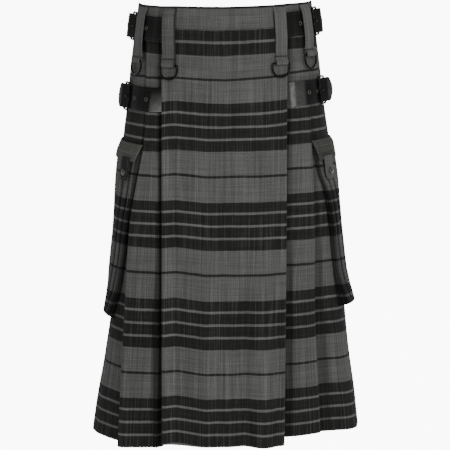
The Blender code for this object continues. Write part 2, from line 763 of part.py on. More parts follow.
TAB_ANGLE = {-1: 62.5, 1: 67.0}
TAB_HALF = 5.0             # degrees either side
TAB_WALL = 1.4
TAB_LIE = 0.6              # between the flap and the tab
TAB_TIP = 0.7              # share of the width left at the tab's foot
TAB_FALLS = (-6.0, 0.0, 14.0, 27.0)    # rows of the tab below the flap's foot
SNAP_FALL = 16.0
SNAP_CAP = ((0.0, 2.6), (2.4, 2.3), (4.2, 1.3), (5.0, 0.35), (0.0, 0.35))   # radius, height


def make_tab(side, word, cloth, group):
    """Closure tab that hangs over the flap's edge."""
    foot = FLAP_TOP[side] + FLAP_HIGH[side]
    rows = []
    for fall in TAB_FALLS:
        shape = TAB_TIP if fall == TAB_FALLS[-1] else 1.0
        row = []
        for share in (-1, -0.5, 0, 0.5, 1):
            turn = TAB_ANGLE[side] + share * TAB_HALF * shape
            off = flap_off(side, turn, foot + min(fall, 0.0)) + (CLOTH + TAB_WALL) / 2 + TAB_LIE
            row.append(surf(side * turn, foot + fall, off))
        rows.append(row[::side])
    sheet("pocket_tab_" + word, rows, TAB_WALL, cloth, group)


def make_snap(side, word, metal, group):
    """Domed snap cap on the closure tab, a turned profile."""
    foot = FLAP_TOP[side] + FLAP_HIGH[side]
    base = flap_off(side, TAB_ANGLE[side], foot) + CLOTH / 2 + TAB_LIE + TAB_WALL + 0.55
    seat = Seat(side * TAB_ANGLE[side], foot + SNAP_FALL, base)
    mesh = bpy.data.meshes.new("pocket_snap_" + word)
    snap = add_object("pocket_snap_" + word, mesh, metal, group)
    points = [(radius * MM, 0.0, height * MM) for radius, height in SNAP_CAP]
    mesh.from_pydata(points, [(i, i + 1) for i in range(len(points) - 1)], [])
    turned = snap.modifiers.new("turn", "SCREW")
    turned.steps = 16
    turned.render_steps = 16
    turned.use_merge_vertices = True
    turned.merge_threshold = 0.00005
    across = seat.along * side
    place = Matrix((across, seat.up, seat.out)).transposed().to_4x4()
    snap.matrix_world = Matrix.Translation(seat.origin * MM) @ place


# ---------------------------------------------------------------- build
def main():
    clean()
    kilt = collection("utility_kilt")
    cutters = collection("cutters")
    cloth = material("tartan_cloth", (0.09, 0.09, 0.088), 0.9)
    leather = material("black_leather", (0.012, 0.012, 0.012), 0.42)
    steel = material("dark_nickel", (0.2, 0.2, 0.19), 0.35, 1.0)

    make_waistband(cloth, kilt)
    make_skirt(cloth, kilt)
    for name, (angle, base, bar) in LOOPS.items():
        make_loop(name, angle, base, bar, cloth, kilt)
        make_ring(name, angle, base, bar, steel, kilt)
    make_back_loop(cloth, kilt)
    for name, (angle, drop, _start, _end, _flare) in STRAPS.items():
        seat = Seat(angle, drop)
        make_strap(name, leather, kilt, cutters)
        make_frame(name, seat, steel, kilt)
        make_pin(name, seat, steel, kilt)
        make_chape(name, seat, angle, drop, leather, kilt)
    for side, word in ((-1, "left"), (1, "right")):
        make_pocket(side, word, cloth, kilt)
        make_flap(side, word, cloth, kilt)
        make_tab(side, word, cloth, kilt)
        make_snap(side, word, steel, kilt)


main()
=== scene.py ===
"""Looks of a utility kilt in its worn shape: tartan cloth, leather straps, dark nickel fittings.

Shapes are worked out in millimetres and written to the meshes in metres.  A point of the
kilt is given by its angle round the body (0 at the front centre, + to +X), its drop below
the top edge of the waistband and how far it stands off the body line.
"""
import math

import bmesh
import bpy
import numpy as np
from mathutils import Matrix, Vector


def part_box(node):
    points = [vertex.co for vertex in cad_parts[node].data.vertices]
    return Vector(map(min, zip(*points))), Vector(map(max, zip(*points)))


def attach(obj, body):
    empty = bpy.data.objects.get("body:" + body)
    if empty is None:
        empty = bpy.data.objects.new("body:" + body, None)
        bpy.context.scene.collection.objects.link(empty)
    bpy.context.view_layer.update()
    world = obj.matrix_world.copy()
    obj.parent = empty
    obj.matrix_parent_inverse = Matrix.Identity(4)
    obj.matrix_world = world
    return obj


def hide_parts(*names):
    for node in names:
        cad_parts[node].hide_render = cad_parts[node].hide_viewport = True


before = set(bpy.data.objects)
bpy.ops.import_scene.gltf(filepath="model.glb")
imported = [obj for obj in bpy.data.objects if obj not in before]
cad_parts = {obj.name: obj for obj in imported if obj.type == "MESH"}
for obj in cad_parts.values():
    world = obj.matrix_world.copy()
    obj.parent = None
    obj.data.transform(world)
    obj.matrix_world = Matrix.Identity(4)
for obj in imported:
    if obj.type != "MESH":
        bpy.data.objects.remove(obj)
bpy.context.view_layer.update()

MM = 0.001
SIDES = ((-1, "left"), (1, "right"))

# ---------------------------------------------------------------- driving sizes (mm)
DROP_LENGTH = 608.0        # top edge to hem at the front centre
BAND_HEIGHT = 31.0         # waistband
SEAM_GAP = 0.6             # between the waistband and the cloth under it
CLOTH = 1.5                # room that one layer of skirt cloth takes
BAND = 2.2                 # waistband, two layers
WEB = 1.2                  # belt loop
LOOP_WIDTH = 22.0
LEATHER = 2.2
STRAP_HEIGHT = 34.0
RING_WIRE = 1.4            # radius
RING_INSIDE = 24.0
RING_REACH = 19.0
FRAME_WIRE = 1.5           # radius of a buckle frame
FRAME_HALF = (10.0, 19.0)
PIN = 0.9                  # radius of a buckle pin
APRON_OFF = 2.7            # outer face of the apron off the body line
BAND_REAR = -0.1           # outer face of the rear waistband
FOLD = 1.4                 # half of the space between the layers of a fold
THREAD = 0.34              # radius a stitch is drawn with

# body line: drop, half width, depth in front, depth behind
BODY = np.array((
    (0, 122, 92, 96),
    (31, 126, 96, 100),
    (70, 131, 99, 106),
    (98, 134.5, 101, 112),
    (130, 138, 103, 120),
    (166, 143.5, 105.5, 127),
    (200, 149, 108, 132),
    (250, 155, 112, 136),
    (302, 159, 116, 139),
    (370, 164, 121, 143),
    (438, 169, 127, 148),
    (500, 175.5, 132, 152),
    (560, 185, 137, 156),
    (608, 191, 141, 160),
))
STATIONS = (0, 98, 166, 302, 438, 608)
# how much each panel hangs higher than level, at STATIONS
LIFT = {
    "apron_left": (0, 1.5, 0, 0, 0, 0),
    "apron_right": (1.5, 4, 1.5, 0, 0, 0),
    "pleat_left": (-1, 0, -3.5, -2, -4, -10),
    "pleat_right": (2.5, 8, 6.5, 8, 6, 4),
    "side_left": (-1, 0, -3, -2, -3.5, -8),
    "side_right": (2.5, 8, 7, 7, 5, -1),
}
LIFT_TURNS = (0, 33, 46, 75, 180)     # degrees at which front, apron, pleat, side and back rise


# ---------------------------------------------------------------- numbers
def spline(knots, values, where):
    """Cubic through the knots: between two of them the Hermite cubic whose end slopes are the
    mean of the chords on both sides, each weighted by the other chord's length."""
    knots = np.asarray(knots, float)
    values = np.asarray(values, float)
    where = np.clip(np.asarray(where, float), knots[0], knots[-1])
    extra = (1,) * (values.ndim - 1)
    gaps = np.diff(knots).reshape((-1,) + extra)
    chords = np.diff(values, axis=0) / gaps
    inner = (gaps[:-1] * chords[1:] + gaps[1:] * chords[:-1]) / (gaps[:-1] + gaps[1:])
    slopes = np.concatenate([chords[:1], inner, chords[-1:]])
    i = np.clip(np.searchsorted(knots, where, side="right") - 1, 0, len(knots) - 2)
    gap = gaps[i]
    t = (where - knots[i]).reshape(where.shape + extra) / gap
    start = (1 + 2 * t) * (1 - t) ** 2 * values[i] + t * (1 - t) ** 2 * gap * slopes[i]
    end = t * t * (3 - 2 * t) * values[i + 1] + t * t * (t - 1) * gap * slopes[i + 1]
    return start + end


def at(table, drop):
    """Value of a STATIONS table at a drop."""
    return spline(STATIONS, table, drop)


def step(x, low, high):
    """0 below low, 1 above high, and a smooth S between."""
    t = np.clip((x - low) / (high - low), 0.0, 1.0)
    return t * t * (3 - 2 * t)


def hump(x, middle, half):
    """Bell of height 1: e to the minus square of the distance over the half width."""
    return np.exp(-(((x - middle) / half) ** 2))


def body(drop):
    """Half width, front depth and back depth of the body line."""
    return [spline(BODY[:, 0], BODY[:, i], drop) for i in (1, 2, 3)]


def lift(angle, drop):
    """Rise of the cloth: each panel's own rise at its middle, straight between them."""
    angle = (np.asarray(angle, float) + 180.0) % 360.0 - 180.0
    behind = 0.5 * (at(LIFT["side_left"], drop) + at(LIFT["side_right"], drop))
    total = np.interp(np.abs(angle), LIFT_TURNS, (0, 0, 0, 0, 1)) * behind
    for k, name in enumerate(("apron", "pleat", "side")):
        share = np.interp(np.abs(angle), LIFT_TURNS, np.eye(5)[k + 1])
        left, right = (at(LIFT[name + "_" + word], drop) for _side, word in SIDES)
        total = total + share * np.where(angle > 0, right, left)
    return total


def panel_rise(name, angle, drop):
    """A panel's own rise, which starts from the waistband's rise at its seam."""
    free = np.interp(drop, (BAND_HEIGHT, 98.0), (0.0, 1.0))
    return (1 - free) * lift(angle, drop) + free * at(LIFT[name], drop)


# the waist sits lower behind: mm at the centre back, and the drop at which that has faded out
BACK_DIP = 17.0
BACK_DIP_END = 420.0


def surf(angle, drop, off=0.0, rise=None):
    """Point on an ellipse round the body: x is the half width times the sine of the angle, y is
    minus the depth times its cosine, both grown by off, and z is the rise minus the drop, less a
    dip behind that goes with y and fades out down the cloth."""
    angle, drop, off = np.broadcast_arrays(np.asarray(angle, float), drop, off)
    wide, front, back = body(drop)
    a = np.radians(angle)
    deep = np.where(np.cos(a) >= 0, front, back)
    up = lift(angle, drop) if rise is None else rise
    dip = BACK_DIP * np.clip(-np.cos(a), 0.0, None) * np.clip(1.0 - drop / BACK_DIP_END, 0.0, None)
    return np.stack([(wide + off) * np.sin(a), -(deep + off) * np.cos(a), up - drop - dip], axis=-1)


def angle_of(x, drop, off=0.0):
    """Angle on the front half whose point has this x."""
    return np.degrees(np.arcsin(np.clip(x / (body(drop)[0] + off), -1, 1)))


def slide(angle, along, drop):
    """Angle after moving this many mm along the waist."""
    wide, front, back = body(drop)
    a = np.radians(angle)
    deep = np.where(np.cos(a) >= 0, front, back)
    return angle + np.degrees(along / np.hypot(wide * np.cos(a), deep * np.sin(a)))


def unit(v):
    """Directions of length 1."""
    return v / np.linalg.norm(v, axis=-1, keepdims=True)


def run_along(points):
    """Distance along a line of points, 0 at the first of them."""
    return np.concatenate([[0.0], np.cumsum(np.linalg.norm(np.diff(points, axis=0), axis=1))])


def from_pairs(pairs, where):
    """Value of a table of (place, value) pairs, straight between them."""
    return np.interp(where, *np.array(pairs, float).T)


def side_of(angle):
    """+1 on the kilt's +X side, and -1 on the other."""
    return 1.0 if angle >= 0 else -1.0


# ---------------------------------------------------------------- meshes
def put(name, points, faces, material, uv=None, smooth=True, fix=False):
    """New object from points in mm and faces.  uv is in metres, one pair a point.
    fix turns every face outward, for a closed shape."""
    mesh = bpy.data.meshes.new(name)
    mesh.from_pydata((np.asarray(points, float) * MM).tolist(), [], faces)
    if uv is not None:
        layer = mesh.uv_layers.new(name="cloth")
        corner = np.zeros(len(mesh.loops), np.int32)
        mesh.loops.foreach_get("vertex_index", corner)
        layer.data.foreach_set("uv", np.asarray(uv, float)[corner].astype(np.float32).ravel())
    if fix:
        work = bmesh.new()
        work.from_mesh(mesh)
        bmesh.ops.recalc_face_normals(work, faces=work.faces)
        work.to_mesh(mesh)
        work.free()
    mesh.materials.append(material)
    mesh.polygons.foreach_set("use_smooth", np.full(len(mesh.polygons), smooth))
    mesh.update()
    piece = bpy.data.objects.new(name, mesh)
    bpy.context.scene.collection.objects.link(piece)
    return piece


def quads(high, wide, closed=False, skip=None):
    """Faces of a grid, rows down and columns along; closed joins the last column to the first.
    skip is a mask of the quads left out."""
    i, j = np.meshgrid(np.arange(high - 1), np.arange(wide if closed else wide - 1), indexing="ij")
    k = i * wide + j
    after = i * wide + (j + 1) % wide
    faces = np.stack([k, k + wide, after + wide, after], axis=-1)
    if skip is not None:
        return faces[~skip].tolist()
    return faces.reshape(-1, 4).tolist()


def end_caps(rings, sides):
    """The two faces that close a tube of this many rings."""
    return [list(range(sides))[::-1], list(range((rings - 1) * sides, rings * sides))]


def repeated(faces, size, count):
    """The same faces for each of count blocks, whose points follow one another, size in each."""
    return [[v + base for v in face] for base in range(0, count * size, size) for face in faces]


def cloth_uv(across, down):
    """Cloth coordinates (m) of a grid, from its places across and down (mm)."""
    return np.stack(np.broadcast_arrays(across * MM, down * MM), axis=-1)


def refine(points, pitch):
    """Mean chord lengths along a grid's rows, summed up, and even places between each two."""
    chords = np.linalg.norm(np.diff(points, axis=1), axis=2).mean(axis=0)
    knots = np.concatenate([[0.0], np.cumsum(chords)])
    fine = []
    for low, high in zip(knots, knots[1:]):
        fine.append(np.linspace(low, high, max(3, math.ceil((high - low) / pitch)) + 1)[:-1])
    return knots, np.concatenate(fine + [knots[-1:]])


def set_field(piece, name, values):
    """One number for each point of a mesh, which its material reads."""
    field = piece.data.attributes.new(name, "FLOAT", "POINT")
    field.data.foreach_set("value", np.ascontiguousarray(values, dtype=np.float32).ravel())


def cloth_piece(name, points, uv, material, wall, closed=False, skip=None, unworn=None):
    """Open grid of points made a thin wall on both sides of the grid.  The last argument is light and
    shade painted into the colour: up to 1 of painted shade in folds and shadows, below 0 painted light."""
    high, wide = points.shape[:2]
    faces = quads(high, wide, closed, skip)
    piece = put(name, points.reshape(-1, 3), faces, material, uv.reshape(-1, 2))
    if unworn is not None:
        set_field(piece, "unworn", np.broadcast_to(unworn, (high, wide)))
    solid = piece.modifiers.new("wall", "SOLIDIFY")
    solid.thickness = wall * MM
    solid.offset = 0.0
    solid.use_even_offset = True
    return piece


def swept(name, centre, across, out, outline, material, closed=False, scale=None):
    """Tube: round each point of the centre line lies the outline, whose first number runs along
    across and whose second runs along out, both times the point's scale."""
    count, ring = len(centre), len(outline)
    scale = np.ones((count, 2)) if scale is None else scale
    first = outline[None, :, 0, None] * scale[:, None, 0, None] * across[:, None, :]
    second = outline[None, :, 1, None] * scale[:, None, 1, None] * out[:, None, :]
    points = centre[:, None, :] + first + second
    if closed:
        points = np.concatenate([points, points[:1]])
    uv = cloth_uv(run_along(points.mean(axis=1))[:, None], outline[None, :, 0])
    faces = quads(len(points), ring, closed=True)
    if closed:
        faces = [[v % (count * ring) for v in face] for face in faces]
        points, uv = points[:-1], uv[:-1]
    else:
        faces += end_caps(count, ring)
    return put(name, points.reshape(-1, 3), faces, material, uv.reshape(-1, 2), fix=True)


def circle(radius, sides=14):
    """Outline of a round wire."""
    a = np.arange(sides) * 2 * math.pi / sides
    return radius * np.stack([np.cos(a), np.sin(a)], axis=-1)


def slab(half, thick, round_off=0.7, corner=4):
    """Outline of a flat band with rounded edges: two straight faces and an arc at each corner."""
    points = []
    for quarter, (x, y) in enumerate(((1, 1), (-1, 1), (-1, -1), (1, -1))):
        a = np.radians(90.0 * quarter + np.linspace(0, 90, corner))
        points.append(np.stack([x * (half - round_off) + round_off * np.cos(a),
                                y * (thick / 2 - round_off) + round_off * np.sin(a)], axis=-1))
    return np.concatenate(points)


def wire(name, path, out, radius, material, closed=False):
    """Round wire along a path that lies in a plane facing out."""
    ahead = np.roll(path, -1, axis=0) - np.roll(path, 1, axis=0)
    if not closed:
        ahead[0], ahead[-1] = path[1] - path[0], path[-1] - path[-2]
    flat = np.broadcast_to(out, path.shape)
    return swept(name, path, unit(np.cross(unit(ahead), flat)), flat, circle(radius), material, closed)


# a stitch: share of its half length and share of its radius, and how far it lies over the cloth
STITCH = np.array((
    (-1.0, 0.25, -0.7),
    (-0.7, 0.85, 0.1),
    (0.0, 1.1, 0.45),
    (0.7, 0.85, 0.1),
    (1.0, 0.25, -0.7),
))
STITCH_SIDES = 6


def on_line(run, values, spots):
    """Values of a line at distances along it, straight between its points."""
    return np.stack([np.interp(spots, run, values[:, k]) for k in range(3)], axis=-1)


def stitches(name, lines, material, pitch=3.4, length=2.5, radius=THREAD):
    """Rows of stitches, one joined mesh.  Each line is (points, outward directions).  A stitch is
    a spindle along the line, thickest at its middle, whose ends dip into the cloth."""
    a = np.arange(STITCH_SIDES) * 2 * math.pi / STITCH_SIDES
    blocks = []
    for path, out in lines:
        run = run_along(path)
        count = max(2, int(run[-1] / pitch))
        spots = (np.arange(count) + 0.5) * run[-1] / count
        centre = on_line(run, path, spots)
        ahead = unit(on_line(run, path, spots + 1.0) - on_line(run, path, spots - 1.0))
        up = unit(on_line(run, out, spots))
        side = unit(np.cross(ahead, up))
        along = STITCH[:, 0, None] * length / 2
        thick = STITCH[:, 1, None] * radius
        rise = STITCH[:, 2, None] * radius + np.sin(a) * thick
        sway = np.cos(a) * thick
        block = (centre[:, None, None] + along[None, :, :, None] * ahead[:, None, None]
                 + rise[None, :, :, None] * up[:, None, None] + sway[None, :, :, None] * side[:, None, None])
        blocks.append(block)
    block = np.concatenate(blocks)
    rings = len(STITCH)
    one = quads(rings, STITCH_SIDES, closed=True) + end_caps(rings, STITCH_SIDES)
    faces = repeated(one, rings * STITCH_SIDES, len(block))
    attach(put(name, block.reshape(-1, 3), faces, material), "kilt")


# ---------------------------------------------------------------- materials
def srgb(text):
    """Linear colour of an sRGB hex value."""
    values = [int(text[k:k + 2], 16) / 255 for k in (1, 3, 5)]
    return tuple(v / 12.92 if v <= 0.04045 else ((v + 0.055) / 1.055) ** 2.4 for v in values) + (1.0,)


def node(tree, kind, inputs=None, **settings):
    """Adds a shader node.  An input given a socket is linked to it, and any other is set."""
    made = tree.nodes.new("ShaderNode" + kind)
    for key, value in settings.items():
        setattr(made, key, value)
    for key, value in (inputs or {}).items():
        if isinstance(value, bpy.types.NodeSocket):
            tree.links.new(value, made.inputs[key])
        else:
            made.inputs[key].default_value = value
    return made


def math_node(tree, operation, a, b=0.0):
    """Result of a sum on one or two numbers."""
    return node(tree, "Math", {0: a, 1: b}, operation=operation).outputs[0]


def times(tree, a, b):
    """Product of two numbers."""
    return math_node(tree, "MULTIPLY", a, b)


def remap(tree, value, low, high, to_low, to_high):
    """Value carried from one range to another, held at its ends."""
    inputs = {"Value": value, "From Min": low, "From Max": high, "To Min": to_low, "To Max": to_high}
    return node(tree, "MapRange", inputs).outputs[0]


def mixed(tree, share, first, second):
    """Colour between two by a share.  A Mix node's colour sockets, 6 and 7, come after its
    number and vector sockets."""
    return node(tree, "Mix", {0: share, 6: first, 7: second}, data_type="RGBA").outputs[2]


def plain_colour(tree, text):
    """One colour everywhere."""
    socket = node(tree, "RGB").outputs[0]
    socket.default_value = srgb(text)
    return socket


def toned(tree, colour, tone):
    """Colour times a number."""
    return node(tree, "VectorMath", {0: colour, "Scale": tone}, operation="SCALE").outputs[0]


def own_place(tree):
    """Place on the piece itself (m), which moves along with it."""
    return node(tree, "TexCoord").outputs["Object"]


def fine_noise(tree, where, size, detail):
    """Noise whose grain is this size (mm)."""
    return node(tree, "TexNoise", {"Vector": where, "Scale": 1000 / size, "Detail": detail}).outputs[0]


def new_material(name):
    """New material, its node tree and its surface shader."""
    made = bpy.data.materials.new(name)
    made.use_nodes = True
    return made, made.node_tree, made.node_tree.nodes["Principled BSDF"]


def stretched_noise(tree, where, per_mm_across, per_mm_along, detail=2.0, seed=0.0):
    """Noise on the cloth's own coordinates (m), stretched along one thread direction."""
    size = (1000.0 * per_mm_across, 1000.0 * per_mm_along, 1.0)
    placed = node(tree, "Mapping", {"Vector": where, "Scale": size, "Location": (seed, seed * 0.7, 0)})
    inputs = {"Vector": placed.outputs[0], "Scale": 1.0, "Detail": detail, "Roughness": 0.55}
    return node(tree, "TexNoise", inputs, noise_dimensions="2D").outputs[0]


# the stripe's repeat down the cloth (mm): centre of the first black group, and the edges in it
REPEAT = 136.2
GROUP = 29.7
EDGE_SOFT = 0.7
GREY = "#4b4b4a"
BLACK = "#1b1b1a"
LINE = "#515150"
OLIVE = "#3b3c38"
FINE_LINE = "#1d1d1d"
BANDS = (                  # from, to (mm from the group's centre), colour
    (-68.1, -66.3, FINE_LINE),
    (-66.3, -32.3, GREY),
    (-32.3, -18.9, BLACK),
    (-18.9, -15.6, LINE),
    (-15.6, -1.65, BLACK),
    (-1.65, 1.65, LINE),
    (1.65, 15.6, BLACK),
    (15.6, 18.9, LINE),
    (18.9, 33.6, BLACK),
    (33.6, 66.3, GREY),
    (66.3, 68.1, FINE_LINE),
)


def stripe_colour(tree, down):
    """Colour of the weft by its place in the repeat: flat bands with soft edges."""
    shifted = math_node(tree, "ADD", down, REPEAT / 2 - GROUP)
    place = math_node(tree, "FRACT", math_node(tree, "DIVIDE", shifted, REPEAT))
    bands = node(tree, "ValToRGB", {"Fac": place})
    elements = bands.color_ramp.elements
    stops = []
    for low, high, colour in BANDS:
        for edge in (low + EDGE_SOFT / 2, high - EDGE_SOFT / 2):
            stops.append(((edge + REPEAT / 2) / REPEAT, srgb(colour)))
    for k, (position, colour) in enumerate((stops[0], stops[-1])):
        elements[k].position, elements[k].color = position, colour
    for position, colour in stops[1:-1]:
        elements.new(position).color = colour
    return bands.outputs[0]


WEAVE = 1.3                # repeat of the drawn weave (mm)


def woven_cloth(name, plain=None):
    """Plain-woven cotton blend, yarn dyed: matt, marled by uneven threads, with a little fuzz.
    The threads are drawn about twice as coarse as they are, so that they show.  Light and shade are painted
    into the colour from a field on the mesh."""
    made, tree, shader = new_material(name)
    where = node(tree, "UVMap", uv_map="cloth").outputs[0]
    parts = node(tree, "SeparateXYZ", {0: where}).outputs
    across, down = (times(tree, parts[k], 1 / MM) for k in (0, 1))
    wander = remap(tree, stretched_noise(tree, where, 1 / 45, 1 / 60), 0.3, 0.7, -0.5, 0.5)
    if plain is None:
        colour = stripe_colour(tree, math_node(tree, "ADD", down, wander))
    else:
        colour = plain_colour(tree, plain)
    warp = stretched_noise(tree, where, 1 / 1.7, 1 / 95, seed=3.0)
    wide_warp = stretched_noise(tree, where, 1 / 11, 1 / 260, seed=8.0)
    weft = stretched_noise(tree, where, 1 / 80, 1 / 1.6, seed=14.0)
    grain = stretched_noise(tree, where, 1 / 1.3, 1 / 1.3, 3.0, seed=21.0)
    tone = remap(tree, warp, 0.3, 0.7, 0.8, 1.2)
    for noise, spread in ((wide_warp, 0.12), (weft, 0.16), (grain, 0.24)):
        tone = times(tree, tone, remap(tree, noise, 0.3, 0.7, 1 - spread, 1 + spread))
    # painted light and shade: where the mesh's field is above 0 the colour is darkened as painted shade, and
    # below 0 it is lightened as painted light
    unworn = node(tree, "Attribute", attribute_name="unworn").outputs["Fac"]
    tone = times(tree, tone, remap(tree, unworn, -1.0, 1.0, 1.75, 0.25))
    grey = mixed(tree, remap(tree, warp, 0.5, 0.75, 0.0, 0.2), colour, srgb(LINE))
    tree.links.new(toned(tree, grey, tone), shader.inputs["Base Color"])
    turns = (times(tree, run, 2 * math.pi / WEAVE) for run in (across, down))
    wave_u, wave_v = (math_node(tree, "SINE", turn) for turn in turns)
    height = math_node(tree, "ADD", times(tree, times(tree, wave_u, wave_v), 0.35), grain)
    height = math_node(tree, "ADD", height, times(tree, warp, 0.6))
    bump = node(tree, "Bump", {"Height": height, "Strength": 0.45, "Distance": 0.0004})
    tree.links.new(bump.outputs[0], shader.inputs["Normal"])
    shader.inputs["Roughness"].default_value = 0.92
    shader.inputs["Specular IOR Level"].default_value = 0.1
    shader.inputs["Sheen Weight"].default_value = 0.015
    shader.inputs["Sheen Roughness"].default_value = 0.6
    return made


def grain_leather():
    """Cowhide, dyed through and rolled to a fine grain: near black, with a soft satin shine, and
    a painted sheen: a grey painted highlight in the colour where the straps bend at the apron's edges."""
    made, tree, shader = new_material("rolled_grain_cowhide")
    where = own_place(tree)
    cell_inputs = {"Vector": where, "Scale": 1000 / 1.5}
    cells = node(tree, "TexVoronoi", cell_inputs, feature="DISTANCE_TO_EDGE").outputs[0]
    pores = fine_noise(tree, where, 6.0, 4.0)
    broad = fine_noise(tree, where, 28.0, 2.0)
    dyed = mixed(tree, remap(tree, broad, 0.35, 0.7, 0.0, 1.0), srgb("#080807"), srgb("#0f0f0e"))
    # painted sheen: a field on the mesh mixes the base colour towards grey as a painted highlight
    painted_sheen = node(tree, "Attribute", attribute_name="painted_sheen").outputs["Fac"]
    painted_sheen = times(tree, painted_sheen, remap(tree, pores, 0.3, 0.7, 0.7, 1.15))
    tree.links.new(mixed(tree, painted_sheen, dyed, srgb("#6e6e6d")), shader.inputs["Base Color"])
    tree.links.new(remap(tree, pores, 0.3, 0.7, 0.36, 0.5), shader.inputs["Roughness"])
    shader.inputs["Specular IOR Level"].default_value = 0.12
    height = math_node(tree, "ADD", remap(tree, cells, 0.0, 0.12, 0.0, 1.0), times(tree, pores, 0.5))
    bump = node(tree, "Bump", {"Height": height, "Strength": 0.3, "Distance": 0.0002})
    tree.links.new(bump.outputs[0], shader.inputs["Normal"])
    return made


def nickel_plate(name, size, detail, worn, colours, dull):
    """Nickel plate on steel: a noise of this size (mm) mixes two tones of it, over the worn part
    of its range, and makes it duller or brighter."""
    made, tree, shader = new_material(name)
    marks = fine_noise(tree, own_place(tree), size, detail)
    plate = mixed(tree, remap(tree, marks, *worn, 0.0, 1.0), srgb(colours[0]), srgb(colours[1]))
    tree.links.new(plate, shader.inputs["Base Color"])
    tree.links.new(remap(tree, marks, 0.3, 0.7, *dull), shader.inputs["Roughness"])
    shader.inputs["Metallic"].default_value = 1.0
    return made


def sewing_thread(name, colour):
    """Spun polyester sewing thread: matt, with a twist that only shows as a fine ripple."""
    made, tree, shader = new_material(name)
    twist = fine_noise(tree, own_place(tree), 0.8, 2.0)
    shade = toned(tree, plain_colour(tree, colour), remap(tree, twist, 0.3, 0.7, 0.75, 1.2))
    tree.links.new(shade, shader.inputs["Base Color"])
    shader.inputs["Roughness"].default_value = 0.8
    return made


# ---------------------------------------------------------------- camera, light and floor
CAMERA_PLACE = (0.0, -3.4, 0.25)    # m: in front of the waist and a little above it
CAMERA_DOWN = 0.16561      # radians below level
FOCAL_PIXELS = 2411.0      # in a frame 450 pixels wide
FRAME_PIXELS = 450
SENSOR = 36.0              # mm
LAMPS = (                  # name, place (m), side of the square (m), power (W)
    ("key", (1.1, -2.9, 1.0), 1.0, 62.0),
    ("fill", (-1.4, -2.8, 0.4), 1.4, 5.0),
    ("top", (0.2, -0.6, 2.4), 1.4, 10.0),
    ("back", (0.0, 3.2, 1.2), 2.0, 24.0),
)
LAMPS_AIM = (0.0, 0.0, -0.3)
FLOOR = -1.02              # a worn kilt's waist is about a metre above the floor
FLOOR_REACH = 24.0         # m each way
FLOOR_GLOW = 0.3           # the paper is lit through from below,
PANEL_GLOW = 9.0           # and much more over two rectangular light panels behind the kilt
PANELS = ((0.75, 1.3), (1.7, 4.0))    # half the width, and how far behind it starts (m)
PANEL_EDGE = 0.2           # width of their soft edges (m)


def make_camera():
    """Camera whose frame is 450 pixels wide at the focal length given in pixels."""
    data = bpy.data.cameras.new("camera")
    data.sensor_width = SENSOR
    data.lens = FOCAL_PIXELS / FRAME_PIXELS * SENSOR
    camera = bpy.data.objects.new("camera", data)
    camera.location = CAMERA_PLACE
    camera.rotation_euler = (math.pi / 2 - CAMERA_DOWN, 0.0, 0.0)
    bpy.context.scene.collection.objects.link(camera)
    bpy.context.scene.camera = camera


def soft_box(name, place, size, power):
    """Square area light turned towards the kilt's middle."""
    data = bpy.data.lights.new(name, "AREA")
    data.size = size
    data.energy = power
    lamp = bpy.data.objects.new(name, data)
    lamp.location = place
    direction = np.subtract(LAMPS_AIM, place)
    turn = math.atan2(direction[0], -direction[1])
    down = math.atan2(math.hypot(direction[0], direction[1]), -direction[2])
    lamp.rotation_euler = (down, 0.0, math.pi + turn)
    bpy.context.scene.collection.objects.link(lamp)


def make_studio():
    """Even white surroundings, four soft boxes, and a floor of white paper that glows: little all
    over, and much over the panels behind the kilt.  A panel's share is the product of a ramp down
    in x and a ramp up in y, and the larger share counts."""
    world = bpy.data.worlds.new("studio")
    world.use_nodes = True
    sky = world.node_tree.nodes["Background"]
    sky.inputs["Color"].default_value = (1.0, 1.0, 1.0, 1.0)
    sky.inputs["Strength"].default_value = 0.5
    bpy.context.scene.world = world
    for lamp in LAMPS:
        soft_box(*lamp)
    made, tree, shader = new_material("matt_white_paper")
    where = own_place(tree)
    fibre = fine_noise(tree, where, 25.0, 3.0)
    tree.links.new(remap(tree, fibre, 0.3, 0.7, 0.9, 1.0), shader.inputs["Roughness"])
    shader.inputs["Base Color"].default_value = (0.93, 0.93, 0.93, 1.0)
    shader.inputs["Emission Color"].default_value = (1.0, 1.0, 1.0, 1.0)
    place = node(tree, "SeparateXYZ", {0: where}).outputs
    shares = []
    for half, start in PANELS:
        aside = remap(tree, math_node(tree, "ABSOLUTE", place[0]), half, half + PANEL_EDGE, 1.0, 0.0)
        behind = remap(tree, place[1], start - PANEL_EDGE, start, 0.0, 1.0)
        shares.append(times(tree, aside, behind))
    glow = remap(tree, math_node(tree, "MAXIMUM", *shares), 0.0, 1.0, FLOOR_GLOW, PANEL_GLOW)
    tree.links.new(glow, shader.inputs["Emission Strength"])
    reach = FLOOR_REACH / MM
    corners = [(x * reach, y * reach, FLOOR / MM) for x, y in ((-1, -1), (1, -1), (1, 1), (-1, 1))]
    put("studio_floor", corners, [[0, 1, 2, 3]], made)


# ---------------------------------------------------------------- skirt panels
# x of the apron's side edges (mm), at STATIONS
APRON_EDGE = {-1: (-88.3, -88.3, -88.3, -88.3, -88.6, -88.7), 1: (86.3, 86.6, 86.2, 86, 85, 83.7)}
